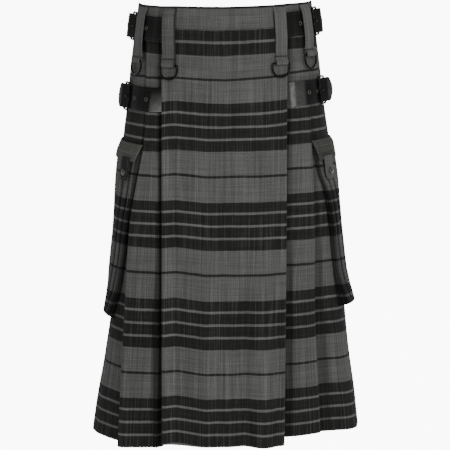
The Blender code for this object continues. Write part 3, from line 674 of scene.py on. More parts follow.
# path points of the pleat panels: x (mm) and outer face off the body line, at STATIONS
PLEAT = {
    -1: {
        "tuck": ((-66, -68, -70, -74, -78, -80), (-1.2, -3.4, -4.2, -12, -18, -24)),
        "inner": ((-93, -94, -95.5, -97, -99.5, -104), (-0.4, -2.4, -3, -6, -9, -12)),
        "middle": ((-102, -103, -104, -114, -119, -127), (-0.4, -2, -1.8, -0.5, 0, 2)),
        "outer": ((-112, -112.5, -113, -131.0, -136.5, -143.5), (-0.4, -1.8, -0.8, 4, 8, 12)),
    },
    1: {
        "tuck": ((66, 68, 68, 70, 72, 74), (-1.2, -3.4, -5, -20, -32, -36)),
        "inner": ((91, 92, 93, 94.3, 96, 97.8), (-0.4, -2.4, -3, -12, -20, -22)),
        "middle": ((106, 107, 107.5, 111.5, 113.5, 117), (-0.4, -2, -2, -9, -17, -20)),
        "outer": ((119, 120.5, 121.5, 131, 139.5, 150.5), (-0.4, -1.8, -0.9, -5, -14, -18)),
    },
}
# outer face of the side panels off the body line, at STATIONS: "tuck" and "inner" lie under the
# pleat panel, "edge" just clear of its fold, and the rest at a share of the way to 90 degrees
SIDE = {
    -1: {
        "tuck": (-6.0, -7.0, -7.0, -9, -14, -22),
        "inner": (-5.9, -6.8, -6.2, -7.2, -11, -17),
        "edge": (-5.2, -6.0, -4.6, -5.0, -8, -14),
        0.35: (0, 0, -1, -5, -6, -8),
        0.68: (0, 0, -1.2, -6, -5, -2.5),
        1.0: (0, 0, -1.5, -7, -5, 0),
    },
    1: {
        "tuck": (-6.2, -7.4, -8.6, -21.5, -37, -47),
        "inner": (-5.9, -7.0, -7.4, -15.8, -28.5, -37.5),
        "edge": (-5.2, -6.0, -5.4, -12, -24, -32),
        0.35: (0, 0, -0.4, -4, -13, -18),
        0.68: (0, 0, -0.5, -1.5, -0.5, 0),
        1.0: (0, 0, -0.5, -1.5, 3, 2),
    },
}
SIDE_BEHIND = {            # the same behind 90 degrees, by the angle
    -1: {99: (0, 0, -1.5, -6.5, -4.5, 1), 108: (0, 0, -1, -4, -2, 2)},
    1: {99: (0, 0, -0.5, -1, 3, 3), 108: (0, 0, 0, 0, 2, 2)},
}
SIDE_REAR = 116.0          # angle of the side panels' rear edge
UNDER_APRON_SHORT = 8.0    # how much shorter the under apron hangs
UNDER_APRON_OVER = 12.0    # how far it runs on behind the pleat panels' tucked edges
PLEATS_BEHIND = 8
BACK_START = 108.0         # angle at which the back panel starts, under the side panel
HEM_THREADS = 609.6 / DROP_LENGTH     # cloth length against drop
# how far the cloth has slipped up or down where it was sewn and worn: drop, mm
SLIP = ((33, -1.0), (47, -1.7), (63, -3.9), (98, -2.8), (134, 1.5), (200, 0.9), (336, 0.4), (406, 0.5),
        (438, -1.2), (456, -1.7), (506, -1.3), (541, 0.0), (610, -0.3))
SHELL = 1.2                # wall a sheet of cloth is drawn with


def threads(drop):
    """Length down the cloth (mm) that lies at a drop."""
    return drop * HEM_THREADS + from_pairs(SLIP, drop)


def row_of(*columns):
    """Columns that depend on the drop, side by side, as (angle, off) grids."""
    shape = np.broadcast_shapes(*[np.shape(c) for pair in columns for c in pair])
    angle = np.stack([np.broadcast_to(pair[0], shape) for pair in columns], axis=-1)
    off = np.stack([np.broadcast_to(pair[1], shape) for pair in columns], axis=-1)
    return angle, off


def apron_wave(x, drop):
    """Waves of the apron that open towards the hem: bells across, a power of the drop down."""
    grow = np.clip((drop - 200.0) / (DROP_LENGTH - 200.0), 0, 1) ** 1.6
    waves = 13 * hump(x, 56, 19) - 5 * hump(x, 26, 13) + 3 * hump(x, -28, 18) - 3 * hump(x, -62, 16)
    return grow * waves


def apron_path(drop):
    """Front apron: x even from edge to edge, the side edges turned in."""
    middle = APRON_OFF - CLOTH / 2
    left, right = at(APRON_EDGE[-1], drop), at(APRON_EDGE[1], drop)
    turn = 6.0 * np.clip((drop - 170.0) / 438.0, 0, 1)
    inner = [(left + 1.4) + (right - left - 2.8) * k / 18 for k in range(19)]
    offs = [middle + apron_wave(x, drop) for x in inner]
    columns = [(left + 0.75, offs[0] - turn), *zip(inner, offs), (right - 0.75, offs[-1] - turn)]
    return row_of(*[(angle_of(x, drop, off), off) for x, off in columns])


def under_apron_path(drop):
    """Under apron: behind the apron, its ends behind the pleat panels' tucked edges."""
    over = UNDER_APRON_OVER
    left, right = (at(PLEAT[side]["tuck"][0], drop) + side * over for side in (-1, 1))
    deep_left, deep_right = (at(PLEAT[side]["tuck"][1], drop) - CLOTH - 1.3 for side in (-1, 1))
    columns = []
    for k in range(11):
        x = left + (right - left) * k / 10
        share = np.clip((x - left - over) / (right - left - 2 * over), 0, 1)
        off = deep_left + (deep_right - deep_left) * share - CLOTH / 2
        columns.append((angle_of(x, drop, off), off))
    return row_of(*columns)


def fold_angle(side, drop):
    """Angle from the front of a pleat panel's outer fold."""
    return np.abs(angle_of(at(PLEAT[side]["outer"][0], drop), drop))


def pleat_path(side):
    """Pleat panel: tucked edge, inner fold, face, outer fold and the cloth turned under."""
    table = PLEAT[side]

    def spot(name, drop, back=0.0, inward=0.0):
        """A path point of the panel, moved back to the front or in towards the body."""
        xs, offs = table[name]
        angle = np.abs(angle_of(at(xs, drop), drop))
        return side * slide(angle, -back, drop), at(offs, drop) - CLOTH / 2 - inward

    def path(drop):
        """Columns of the panel in the order that faces outward."""
        depth = at((0.9, 2.4, 3.2, 4.6, 5.6, 7.0), drop)
        tuck, recess = spot("tuck", drop), spot("inner", drop, 1.6, depth)
        last = side * slide(fold_angle(side, drop), -17.0, drop)
        columns = [
            tuck,
            ((tuck[0] + recess[0]) / 2, (tuck[1] + recess[1]) / 2),
            recess,
            spot("inner", drop),
            spot("inner", drop, -6.0, -0.2),
            spot("middle", drop),
            spot("outer", drop, 7.0, 0.1),
            spot("outer", drop, 1.5),
            spot("outer", drop, 0.4, FOLD * 0.4),
            spot("outer", drop, 0.4, FOLD * 1.3),
            spot("outer", drop, 1.5, FOLD * 1.7),
            (last, at(SIDE[side]["tuck"], drop) + 0.8 + CLOTH / 2),
        ]
        return row_of(*columns[::side])

    return path


def side_profile(side, drop):
    """Angles from the front and outer faces of a side panel."""
    table = SIDE[side]
    fold = fold_angle(side, drop)
    edge = slide(fold, 1.5, drop)
    profile = [
        (slide(fold, -19.0, drop), at(table["tuck"], drop)),
        (slide(fold, -13.5, drop), at(table["tuck"], drop) - 0.3),
        (slide(fold, -6.0, drop), at(table["inner"], drop)),
        (edge, at(table["edge"], drop)),
    ]
    for share in (0.35, 0.68, 1.0):
        profile.append((edge + (90.0 - edge) * share, at(table[share], drop)))
    for angle, offs in SIDE_BEHIND[side].items():
        profile.append((float(angle), at(offs, drop)))
    profile.append((SIDE_REAR, 0.0))
    return row_of(*profile)


def side_path(side):
    """Side panel: the middle of its cloth, half a layer in from its outer face."""

    def path(drop):
        """Columns of the panel in the order that faces outward."""
        turn, off = side_profile(side, drop)
        return (side * turn)[..., ::side], (off - CLOTH / 2)[..., ::side]

    return path


def side_off(side, turn, drop):
    """Outer face of the side panel off the body line at an angle from the front, straight
    between the profile's points."""
    turn, drop = np.broadcast_arrays(np.asarray(turn, float), drop)
    turns, offs = side_profile(side, drop)
    result = offs[..., 0].copy()
    for k in range(turns.shape[-1] - 1):
        width = turns[..., k + 1] - turns[..., k]
        share = np.clip((turn - turns[..., k]) / width, 0, 1)
        result += share * (offs[..., k + 1] - offs[..., k])
    return result


def back_path(drop):
    """Knife pleats round the back, all laid one way: a fold edge, a face and a fold under."""
    under = -CLOTH - 0.7
    open_out = np.clip((drop - 150.0) / 450.0, 0, 2)
    stack = 2 * FOLD + 0.4 + 7.0 * open_out
    first, last = SIDE_REAR + 5.0, 360.0 - SIDE_REAR - 5.0
    pitch = (last - first) / PLEATS_BEHIND
    overlap = 4.6 - 1.6 * open_out
    top = -CLOTH / 2 + 3.0 * open_out
    bottom = top - 2 * stack
    start, end = (under - CLOTH / 2 + side_off(side, BACK_START, drop) for side in (1, -1))
    columns = [(BACK_START, start), (SIDE_REAR - 1.0, under - CLOTH / 2 - 0.4)]
    columns.append((SIDE_REAR + 2.5, under - CLOTH / 2 - 2.2))
    for i in range(PLEATS_BEHIND):
        edge = first + pitch * i
        if i == 0:
            columns.append((edge + overlap, bottom + stack * 0.15))
            columns.append((edge + overlap + 0.5, bottom + stack * 0.5))
            columns.append((edge + overlap, bottom + stack * 0.85))
        columns.append((edge + 0.6, top - FOLD * 1.35))
        columns.append((edge, top - FOLD * 0.6))
        columns.append((edge + 0.6, top))
        columns.append((edge + pitch * 0.55, top - stack * 0.35))
        if i < PLEATS_BEHIND - 1:
            inner = edge + pitch + overlap
            columns.append((inner - 0.5, bottom + stack * 0.12))
            columns.append((inner, bottom + stack * 0.45))
            columns.append((inner - 0.5, bottom + stack * 0.85))
    columns.append((360.0 - SIDE_REAR - 2.0, under - CLOTH / 2 - 1.6))
    columns.append((360.0 - SIDE_REAR + 1.0, under - CLOTH / 2 - 0.2))
    columns.append((360.0 - BACK_START, end))
    return row_of(*columns)


# creases: across the panel at the top and at the foot (share), from and to (drop), half width
# and depth (mm, + inward)
CREASES = {
    "apron": (
        (0.078, 0.085, 60, 330, 1.6, 0.55),
        (0.085, 0.10, 260, 640, 5.0, 0.9),
        (0.20, 0.17, 40, 420, 9.0, 0.7),
        (0.33, 0.36, 150, 640, 6.0, -0.8),
        (0.47, 0.45, 300, 640, 7.0, 1.1),
        (0.60, 0.62, 30, 260, 8.0, -0.5),
        (0.66, 0.67, 380, 640, 5.0, 1.2),
        (0.90, 0.91, 90, 640, 3.5, 0.7),
        (0.95, 0.955, 40, 300, 2.2, -0.5),
    ),
    "pleat_left": (
        (0.42, 0.46, 150, 640, 6.0, 0.9),
        (0.55, 0.60, 60, 300, 4.0, -0.6),
        (0.64, 0.66, 330, 640, 4.0, 0.8),
    ),
    "pleat_right": (
        (0.36, 0.33, 100, 420, 5.0, 0.8),
        (0.46, 0.44, 300, 640, 5.0, -0.9),
        (0.56, 0.55, 60, 260, 3.5, 0.5),
    ),
    "side_left": (
        (0.72, 0.70, 120, 500, 8.0, 0.9),
        (0.60, 0.62, 440, 640, 7.0, 1.4),
        (0.45, 0.42, 446, 640, 6.0, -1.4),
        (0.30, 0.33, 450, 640, 7.0, 1.2),
    ),
    "side_right": (
        (0.24, 0.27, 430, 640, 6.0, 1.3),
        (0.40, 0.38, 440, 640, 7.0, -1.5),
        (0.56, 0.55, 436, 640, 6.0, 1.2),
        (0.78, 0.76, 140, 480, 8.0, 0.8),
    ),
    "back": (
        (0.12, 0.13, 200, 640, 6.0, 0.7),
        (0.27, 0.26, 90, 420, 5.0, -0.6),
        (0.41, 0.42, 260, 640, 6.0, 0.8),
        (0.58, 0.57, 120, 520, 5.0, 0.5),
        (0.73, 0.74, 300, 640, 6.0, -0.7),
        (0.88, 0.87, 80, 380, 5.0, 0.6),
    ),
}
CREASE_FADE = 45.0         # a crease runs out over this length at each end


def crease_off(name, across, width, drop):
    """Listed creases: each is a bell across times an S-shaped fade at its two ends."""
    total = np.zeros(np.broadcast(across, drop).shape)
    for top, foot, low, high, half, depth in CREASES.get(name, ()):
        share = top + (foot - top) * drop / DROP_LENGTH
        fade = step(drop, low, low + CREASE_FADE) * (1 - step(drop, high - CREASE_FADE, high))
        total = total - depth * fade * hump(across, share * width, half)
    return total


def panel(path, drops, name=None, lift_name=None, pitch=2.4):
    """Fine grid of a panel, and its cloth coordinates.  The path's columns are joined by a cubic
    over their mean chord lengths, and the creases then move the points in or out."""
    drop = np.asarray(drops, float)
    angle, off = path(drop)
    coarse = surf(angle, drop[:, None], off)
    knots, fine = refine(coarse, pitch)
    angle = spline(knots, angle.T, fine).T
    off = spline(knots, off.T, fine).T
    drop = drop[:, None]
    off = off + crease_off(name, fine[None, :], knots[-1], drop)
    rise = None if lift_name is None else panel_rise(lift_name, angle, drop)
    points = surf(angle, drop, off, rise)
    return points, cloth_uv(fine[None, :], threads(drop))


def drops_to(low, high, pitch):
    """Even drops from low to high, about a pitch apart."""
    return np.linspace(low, high, round((high - low) / pitch) + 1)


def outward(points):
    """Unit directions away from the body at each point of a grid."""
    down = np.gradient(points, axis=0)
    along = np.gradient(points, axis=1)
    return unit(np.cross(down, along))


def wear(piece, body_name, slot, *nodes):
    """The piece rides on its body and stands for its nodes, whose parts it hides; slot is not used."""
    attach(piece, body_name)
    if nodes:
        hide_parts(*nodes)
    return piece


def cloth_part(node_name, points, uv, cloth, wall, **more):
    """Cloth of the kilt that stands for one node, and bears its name."""
    piece = cloth_piece(node_name + "_cloth", points, uv, cloth, wall, **more)
    return wear(piece, "kilt", "tartan_cloth", node_name)


# how far the painted shadow beside the apron's edge reaches from that edge, at these drops
APRON_SHADOW_AT = (250.0, 350.0, 450.0, 608.0)
APRON_SHADOW_REACH = {-1: (5.6, 8.0, 13.0, 13.5), 1: (6.8, 8.0, 10.5, 11.3)}


def painted_apron_shadow(side, drops, points):
    """Painted shadow of the apron: the strip of a pleat panel beside the apron's edge, drawn darker."""
    away = side * points[..., 0] - np.abs(at(APRON_EDGE[side], drops))[:, None]
    reach = np.interp(drops, APRON_SHADOW_AT, APRON_SHADOW_REACH[side])[:, None]
    depth = np.interp(drops, (300.0, 450.0), (0.55, 0.8))[:, None]
    return depth * (1 - step(away, reach - 1.4, reach + 1.4))


def painted_fold_shadow(side, drops, points):
    """Painted shadow of the fold: the strip of a side panel next to the pleat panel's outer fold, drawn
    darker.
    """
    away = side * points[..., 0] - np.abs(at(PLEAT[side]["outer"][0], drops))[:, None]
    return 0.55 * (1 - step(away, 0.5, 3.5)) * step(drops, 120.0, 200.0)[:, None]


def tucked_hem(side, drops, points):
    """A pleat panel's hem is drawn up by 5 mm where it lies behind the apron."""
    edge = np.abs(at(APRON_EDGE[side], drops))[:, None]
    behind = 1 - step(side * points[..., 0], edge - 7.0, edge + 1.0)
    points[..., 2] += 5.0 * behind * step(drops, 520.0, 600.0)[:, None]


def skirt_piece(name, grid, cloth, unworn=None):
    """Panel of the skirt, with its flat cut."""
    piece = cloth_part(name, *grid, cloth, SHELL, unworn=unworn)


PRESSED_AT = -67.5         # x of a sharp crease down the apron


def make_skirt(cloth):
    """All panels.  The strips of painted shade and painted highlight are smooth steps of the distance to an
    edge.
    """
    top = BAND_HEIGHT + SEAM_GAP
    drops = drops_to(top, DROP_LENGTH, 3.0)
    points, uv = panel(apron_path, drops, "apron")
    x, drop = points[..., 0], drops[:, None]
    # the cloth is drawn up a little along the crease near the left edge
    drawn_up = 2.6 * np.interp(x, (-89, PRESSED_AT, -26), (0, 1, 0)) * step(drop, 60.0, 120.0)
    uv[..., 1] = threads(drop + drawn_up) * MM
    # painted shade along the crease near the left edge
    unworn = 0.35 * hump(x, PRESSED_AT, 0.9) * step(drop, 60.0, 110.0) * (1 - step(drop, 290.0, 420.0))
    # and a painted highlight, lighter, between the crease and its folded edge
    unworn = unworn - 0.22 * (1 - step(x, PRESSED_AT - 2.0, PRESSED_AT)) * step(drop, 98.0, 150.0)
    skirt_piece("apron", (points, uv), cloth, unworn)
    short = drops_to(top, DROP_LENGTH - UNDER_APRON_SHORT, 8.0)
    skirt_piece("under_apron", panel(under_apron_path, short, pitch=6.0), cloth)
    for side, word in SIDES:
        grid = panel(pleat_path(side), drops, "pleat_" + word, "pleat_" + word)
        tucked_hem(side, drops, grid[0])
        skirt_piece("pleat_panel_" + word, grid, cloth, painted_apron_shadow(side, drops, grid[0]))
        grid = panel(side_path(side), drops, "side_" + word)
        skirt_piece("side_panel_" + word, grid, cloth, painted_fold_shadow(side, drops, grid[0]))
    behind = drops_to(top, DROP_LENGTH, 5.0)
    skirt_piece("back_panel", panel(back_path, behind, "back", pitch=4.5), cloth)


# ---------------------------------------------------------------- waistband
BAND_SEWN = (2.6, 28.4)    # drops of the two stitch rows
BAND_THREADS = 97.4        # the band is cut so that its top edge falls on the fine dark line


def top_edge_shade(drop):
    """Painted shade along the topmost 2 to 3 mm of a band or loop: how dark it is drawn."""
    return 1.2 * np.clip(3.0 - drop, 0.0, 1.0)


def band_grid(angles, off):
    """Waistband: follows the body line, dips at its stitch rows and rounds in at both edges."""
    drop = np.linspace(0.0, BAND_HEIGHT, 40)[:, None]
    dip = sum(hump(drop, row, 1.1) for row in BAND_SEWN)
    edge = hump(drop, 0.0, 1.0) + hump(drop, BAND_HEIGHT, 1.0)
    points = surf(angles[None, :], drop, off - 0.3 * dip - 0.45 * edge)
    uv = cloth_uv(run_along(points[20])[None, :], BAND_THREADS - drop)
    # the third value is the painted shade along the band's top edge
    return points, uv, top_edge_shade(drop)


def on_body(angle, drop, off, rise=None):
    """Points and outward directions, for sewing."""
    inside = surf(angle, drop, off, rise)
    return inside, unit(surf(angle, drop, off + 1.0, rise) - inside)


def make_waistband(cloth, thread):
    """Front band from edge to edge of the apron, the closed band behind it, and their rows."""
    off = APRON_OFF + 0.2 - BAND / 2
    left, right = (angle_of(at(APRON_EDGE[side], 0.0), 0.0, off) for side in (-1, 1))
    front = np.linspace(left, right, 90)
    round_it = np.linspace(0.0, 360.0, 300, endpoint=False)
    points, uv, unworn = band_grid(front, off)
    piece = cloth_part("waistband_front", points, uv, cloth, BAND - 0.2, unworn=unworn)
    rear_off = BAND_REAR - BAND / 2
    points, uv, unworn = band_grid(round_it, rear_off)
    piece = cloth_part("waistband", points, uv, cloth, BAND - 0.2, closed=True, unworn=unworn)
    rows = [on_body(front[1:-1], row, off + BAND / 2 - 0.3) for row in BAND_SEWN]
    rows += [on_body(np.linspace(48, 312, 400), row, BAND_REAR - 0.3) for row in BAND_SEWN]
    stitches("waistband_stitches", rows, thread)


# ---------------------------------------------------------------- belt loops and rings
# name: angle, surface under the loop (mm off the body line), drop of the ring's bar
LOOPS = {
    "side_left": (-66.0, 0.0, 79.0),
    "front_left": (-36.6, 2.9, 82.0),
    "front_right": (35.6, 2.9, 82.0),
    "side_right": (62.0, 0.0, 76.0),
}
# how far the foot of a loop hangs to the kilt's +X side of the panel's own slope
LOOP_LEAN = {"side_left": 0.0, "front_left": 5.5, "front_right": -3.6, "side_right": 0.0}
# height of each ring's hinge line (mm): the top of its solid less the wire's radius
HINGE_LEVEL = {name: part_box("d_ring_" + name)[1].z / MM - RING_WIRE for name in LOOPS}
# left and right edge of each loop's cloth off its middle (mm): the right front loop is narrower
LOOP_EDGES = {
    "side_left": (-11.0, 11.0),
    "front_left": (-11.0, 10.0),
    "front_right": (-8.0, 10.4),
    "side_right": (-10.0, 11.0),
}
LOOP_SEWN = {              # how far above the bar each loop is sewn across
    "side_left": (5.5,),
    "front_left": (8.5,),
    "front_right": (9.5,),
    "side_right": (7.0,),
}
TAB_MID = WEB / 2 + 0.35   # middle of the layer that lies on the panel
BAR_OUT = WEB + 0.7 + RING_WIRE
WRAP = RING_WIRE + 0.35 + WEB / 2


def seat(angle, drop, off=0.0):
    """Flat frame on the kilt: origin, along the waist to the back, outward, up the cloth."""
    side = side_of(angle)
    origin = surf(angle, drop, off)
    along = surf(angle + side * 4.0, drop, off) - surf(angle - side * 4.0, drop, off)
    along[2] = 0.0
    along = unit(along)
    up = unit(surf(angle, drop - 15, off) - surf(angle, drop + 15, off))
    out = unit(np.cross(along, up) * side)
    return origin, along, out, unit(np.cross(out, along) * side)


def seat_point(frame_of, s, n, v):
    """Points at s along, n out and v up from a seat."""
    origin, along, out, up = frame_of
    s, n, v = (np.asarray(value, float)[..., None] for value in (s, n, v))
    return origin + s * along + n * out + v * up


def loop_profile(bar):
    """Drop and stand-off of a loop's middle line, from the top edge round the ring's bar."""
    line = [
        (1.0, TAB_MID), (6.0, TAB_MID + 1.0), (11.0, TAB_MID + 3.0), (16.0, TAB_MID + 3.6),
        (32.0, TAB_MID + 3.9), (50.0, TAB_MID + 3.6), (60.0, TAB_MID + 2.5),
        (bar - 10.0, TAB_MID + WEB + 0.4), (bar - 6.0, TAB_MID + WEB + 0.8),
        (bar - 2.0, BAR_OUT + WRAP * 0.93),
    ]
    for k in range(7):
        turn = math.radians(20.0 + 140.0 * k / 6.0)
        line.append((bar + WRAP * math.sin(turn), BAR_OUT + WRAP * math.cos(turn)))
    line += [(bar - 3.0, TAB_MID), (bar - 10.0, TAB_MID)]
    return np.array(line)


def smooth_line(line, pitch):
    """A line through points, as a cubic over its chord lengths."""
    run = run_along(line)
    fine = np.linspace(0.0, run[-1], max(3, int(run[-1] / pitch)))
    return spline(run, line, fine), fine


def loop_points(name, drop, out, across):
    """Points of a loop: the panel's point at the drop, moved out and across in the loop's plane,
    and let down in step with the drop until the fold is round the hinge line."""
    angle, base, bar = LOOPS[name]
    held = np.minimum(drop, bar - 4.0)
    along, outward_way, up = seat(angle, bar, base)[1:]
    foot = surf(angle, held, base) - (drop - held)[:, None] * up + out[:, None] * outward_way
    hinge = surf(angle, bar - 4.0, base) - 4.0 * up + BAR_OUT * outward_way
    share = np.minimum(drop / bar, 1.0)
    foot[:, 2] += (HINGE_LEVEL[name] - hinge[2]) * share
    aside = across[None, :] + LOOP_LEAN[name] * share[:, None]
    return foot[:, None, :] + (side_of(angle) * aside)[..., None] * along


def make_loop(name, cloth, thread):
    """Belt loop folded round the ring's bar, its edges turned in a little."""
    angle, base, bar = LOOPS[name]
    line, run = smooth_line(loop_profile(bar), 0.9)
    share = np.linspace(-1.0, 1.0, 17)
    sway = 0.35 * np.sin(run / 17.0 + angle)
    wide = np.interp(share, (-1, 1), LOOP_EDGES[name])
    grid = loop_points(name, line[:, 0], line[:, 1], wide)
    along, out = seat(angle, bar, base)[1:3]
    grid = grid + sway[:, None, None] * along * np.abs(share)[None, :, None]
    outer = run < run[-1] - 16.0
    curl = np.where(outer, 1.0, 0.0)[:, None] * (0.35 * np.abs(share) ** 6)[None, :]
    grid = grid - curl[..., None] * out
    uv = cloth_uv(wide[None, :] + angle / MM, run[:, None])
    # painted shade along the loop's top edge and along each sewn row
    unworn = top_edge_shade(line[:, :1])
    for above in LOOP_SEWN[name]:
        unworn = unworn + 0.9 * hump(line[:, :1], bar - above, 1.1)
    # painted shadow: a dark strip along the right edge of the left front loop
    if name == "front_left":
        unworn = unworn + 0.9 * step(wide, 7.6, 8.4)
    piece = cloth_part("belt_loop_" + name, grid, uv, cloth, WEB - 0.1, unworn=unworn)
    rows = []
    across = 0.9 * np.linspace(*LOOP_EDGES[name], 12)
    for above in LOOP_SEWN[name] + (bar - 2.5,):
        drop = np.full(1, bar - above)
        front = line[: int(len(line) * 0.7)]
        level = np.interp(drop, front[:, 0], front[:, 1]) + WEB / 2 - 0.1
        path = loop_points(name, drop, level, across)[0]
        rows.append((path, np.broadcast_to(out, path.shape)))
    stitches("belt_loop_%s_stitches" % name, rows, thread, pitch=2.4, length=2.3, radius=0.5)


def make_ring(name, metal):
    """D ring: a straight bar in the loop's fold, small round corners and an arc below."""
    angle, base, bar = LOOPS[name]
    hinge = loop_points(name, np.full(1, bar), np.full(1, BAR_OUT), np.zeros(1))[0, 0]
    along, out, up = seat(angle, bar, base)[1:]
    half = RING_INSIDE / 2 + RING_WIRE
    corner = 1.8
    flat = 0.86                # the arc is this much flatter than round
    bend = np.radians(np.linspace(0, 90, 6))
    right = corner * np.stack([np.sin(bend) - 1.0, 1.0 - np.cos(bend)], axis=-1) + (half, 0.0)
    turn = np.radians(np.linspace(0, 180, 45))
    arc = np.stack([half * np.cos(turn), RING_REACH - half * flat + half * flat * np.sin(turn)], axis=-1)
    bar_line = np.stack([np.linspace(-half + corner, half - corner, 12)[1:-1], np.zeros(10)], axis=-1)
    outline = np.concatenate([right, arc, (right * (-1, 1))[::-1], bar_line])
    path = hinge + outline[:, :1] * along - outline[:, 1:] * up
    piece = wire("d_ring_%s_wire" % name, path, out, RING_WIRE, metal, closed=True)
    wear(piece, "ring_" + name, "dark_nickel", "d_ring_" + name)


def make_back_loop(cloth, thread):
    """Plain loop at the centre back, sewn at both ends."""
    line = np.array([(1.0, TAB_MID), (6.0, TAB_MID + 1.0), (12.0, TAB_MID + 5.2), (34.0, TAB_MID + 5.2),
                     (52.0, TAB_MID + 4.6), (60.0, TAB_MID + 1.4), (66.0, TAB_MID)])
    line, run = smooth_line(line, 1.2)
    across = np.linspace(-1, 1, 15) * LOOP_WIDTH / 2
    foot = surf(180.0, line[:, 0], 0.3)
    foot[:, 1] += line[:, 1]
    grid = foot[:, None, :] + np.stack([-across, 0 * across, 0 * across], axis=-1)[None]
    uv = cloth_uv(across[None, :], run[:, None])
    piece = cloth_part("belt_loop_back", grid, uv, cloth, WEB - 0.1)
    rows = []
    for k in (3, -4):
        path = grid[k, 1:-1] + np.array([0.0, WEB / 2, 0.0])
        rows.append((path, np.broadcast_to((0.0, 1.0, 0.0), path.shape)))
    stitches("belt_loop_back_stitches", rows, thread, pitch=2.4, length=2.3, radius=0.45)


# ---------------------------------------------------------------- leather straps and buckles
# name: angle of the buckle, drop of the strap's middle, first angle, end past the buckle, its flare
STRAPS = {
    "upper_left": (-80.0, 32.0, -32.5, 19.0, -1.0),
    "upper_right": (78.0, 29.5, 31.5, 20.0, -1.5),
    "lower_left": (-77.0, 129.0, -36.5, 24.0, -0.5),
    "lower_right": (74.5, 129.0, 36.0, 27.0, 0.5),
}
# painted sheen on the leather, a grey painted highlight: distance from the kilt's middle (mm), strength; its
# share at the top
PAINTED_SHEEN = {
    "lower_left": (((86, 0.9), (90, 0.85), (95, 0.62), (102, 0.5), (105, 0.0)), -0.15),
    "lower_right": (((89, 0.2), (91.5, 0.9), (95.5, 0.85), (98, 0.27), (109, 0.25), (113, 0.0)), 0.8),
}
HOLES = {                  # angles of the adjusting holes
    "upper_left": (-58.0,),
    "upper_right": (54.5,),
    "lower_left": (-52.0, -64.0),
    "lower_right": (56.8, 67.0),
}
LIE = 0.7                  # strap's inner face off the cloth
UNDER_BAR = 0.9            # strap's middle under the frame's front bar
BAR_LEVEL = UNDER_BAR + LEATHER / 2 + 0.4 + FRAME_WIRE
HOOK = FRAME_WIRE + 0.35 + PIN
OVER_HEEL = BAR_LEVEL + HOOK + PIN + 0.4 + LEATHER / 2
PIN_LEVEL = BAR_LEVEL + HOOK
STITCH_INSET = 3.2
STRAP_PITCH = 1.1          # between the points of a strap's centre line
TIP_EYELET = 6             # how many of them the tip's eyelet lies before the end


def strap_off(name, turn):
    """Middle of the strap off the body line along the waist, straight between its points."""
    mid = LIE + LEATHER / 2
    if name.startswith("upper"):
        over = APRON_OFF + 0.35
        return mid + np.interp(turn, (0, 45.5, 51.0, 90), (over, over, 0.1, 0.1))
    under = APRON_OFF - CLOTH - 0.6 - LEATHER / 2
    return np.interp(turn, (0, 44.0, 55.0, 60.0, 90.0), (under, under, mid - 0.9, mid, mid))


def strap_line(name):
    """Centre line of a strap, its across and out directions and its half height.  It lies on the
    kilt up to the buckle, then rises over the heel bar and ends in a blunt point."""
    angle, drop, start, end, flare = STRAPS[name]
    side = side_of(angle)
    half = STRAP_HEIGHT / 2
    turns = np.linspace(abs(start), abs(angle) - 9.0, 14)
    off = strap_off(name, turns)
    centre = surf(side * turns, drop, off)
    across = surf(side * turns, drop - half, off) - surf(side * turns, drop + half, off)
    here = seat(angle, drop)
    run = [(-13.5, UNDER_BAR - 0.75), (-10.0, UNDER_BAR), (-7.4, UNDER_BAR + 0.35), (-2.5, UNDER_BAR + 3.0),
           (2.5, OVER_HEEL - 2.6), (7.0, OVER_HEEL - 0.2), (10.0, OVER_HEEL), (13.0, OVER_HEEL + flare * 0.2),
           (end, OVER_HEEL + flare)]
    s, n = np.array(run).T
    centre = np.concatenate([centre, seat_point(here, s, n, 0.0 * s)])
    across = np.concatenate([unit(across), np.broadcast_to(here[3], (len(run), 3))])
    chords = run_along(centre)
    fine = np.linspace(0.0, chords[-1], int(chords[-1] / STRAP_PITCH))
    centre = spline(chords, centre, fine)
    across = unit(spline(chords, across, fine))
    ahead = unit(np.gradient(centre, axis=0))
    out = unit(np.cross(ahead, across) * side)
    tip = end - 13.0
    share = np.clip((fine - (chords[-1] - tip)) / tip, 0, 1)
    height = half * np.interp(share, (0, 0.12, 0.3, 0.72, 0.93, 1.0), (1, 0.99, 0.93, 0.6, 0.33, 0.2))
    return centre, across, out, height


def disc_grid(rings, sides=20):
    """Turned profile: each ring is (radius, height)."""
    a = np.arange(sides) * 2 * math.pi / sides
    radius, height = np.array(rings).T
    flat = radius[:, None, None] * np.stack([np.cos(a), np.sin(a)], axis=-1)[None]
    return np.concatenate([flat, np.broadcast_to(height[:, None, None], flat.shape[:2] + (1,))], axis=-1)


# turned profiles: radius, height over the leather
EYELET = ((3.1, -0.2), (3.1, 0.25), (2.7, 0.55), (2.2, 0.55), (1.8, 0.3), (1.75, -0.3))
# a black disc in each eyelet stands for the hole's dark inside: painted shade
HOLE = ((1.78, 0.05), (0.9, 0.04), (0.02, 0.03))


def turned(name, rings, place, material):
    """Turned piece set at places given as (origin, three directions), joined into one mesh."""
    grid = disc_grid(rings)
    sides = grid.shape[1]
    one = quads(len(rings), sides, closed=True) + end_caps(len(rings), sides)
    points = []
    for origin, first, second, out in place:
        turned_grid = origin + grid[..., :1] * first + grid[..., 1:2] * second + grid[..., 2:] * out
        points.append(turned_grid.reshape(-1, 3))
    faces = repeated(one, len(rings) * sides, len(place))
    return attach(put(name, np.concatenate(points), faces, material, fix=True), "kilt")


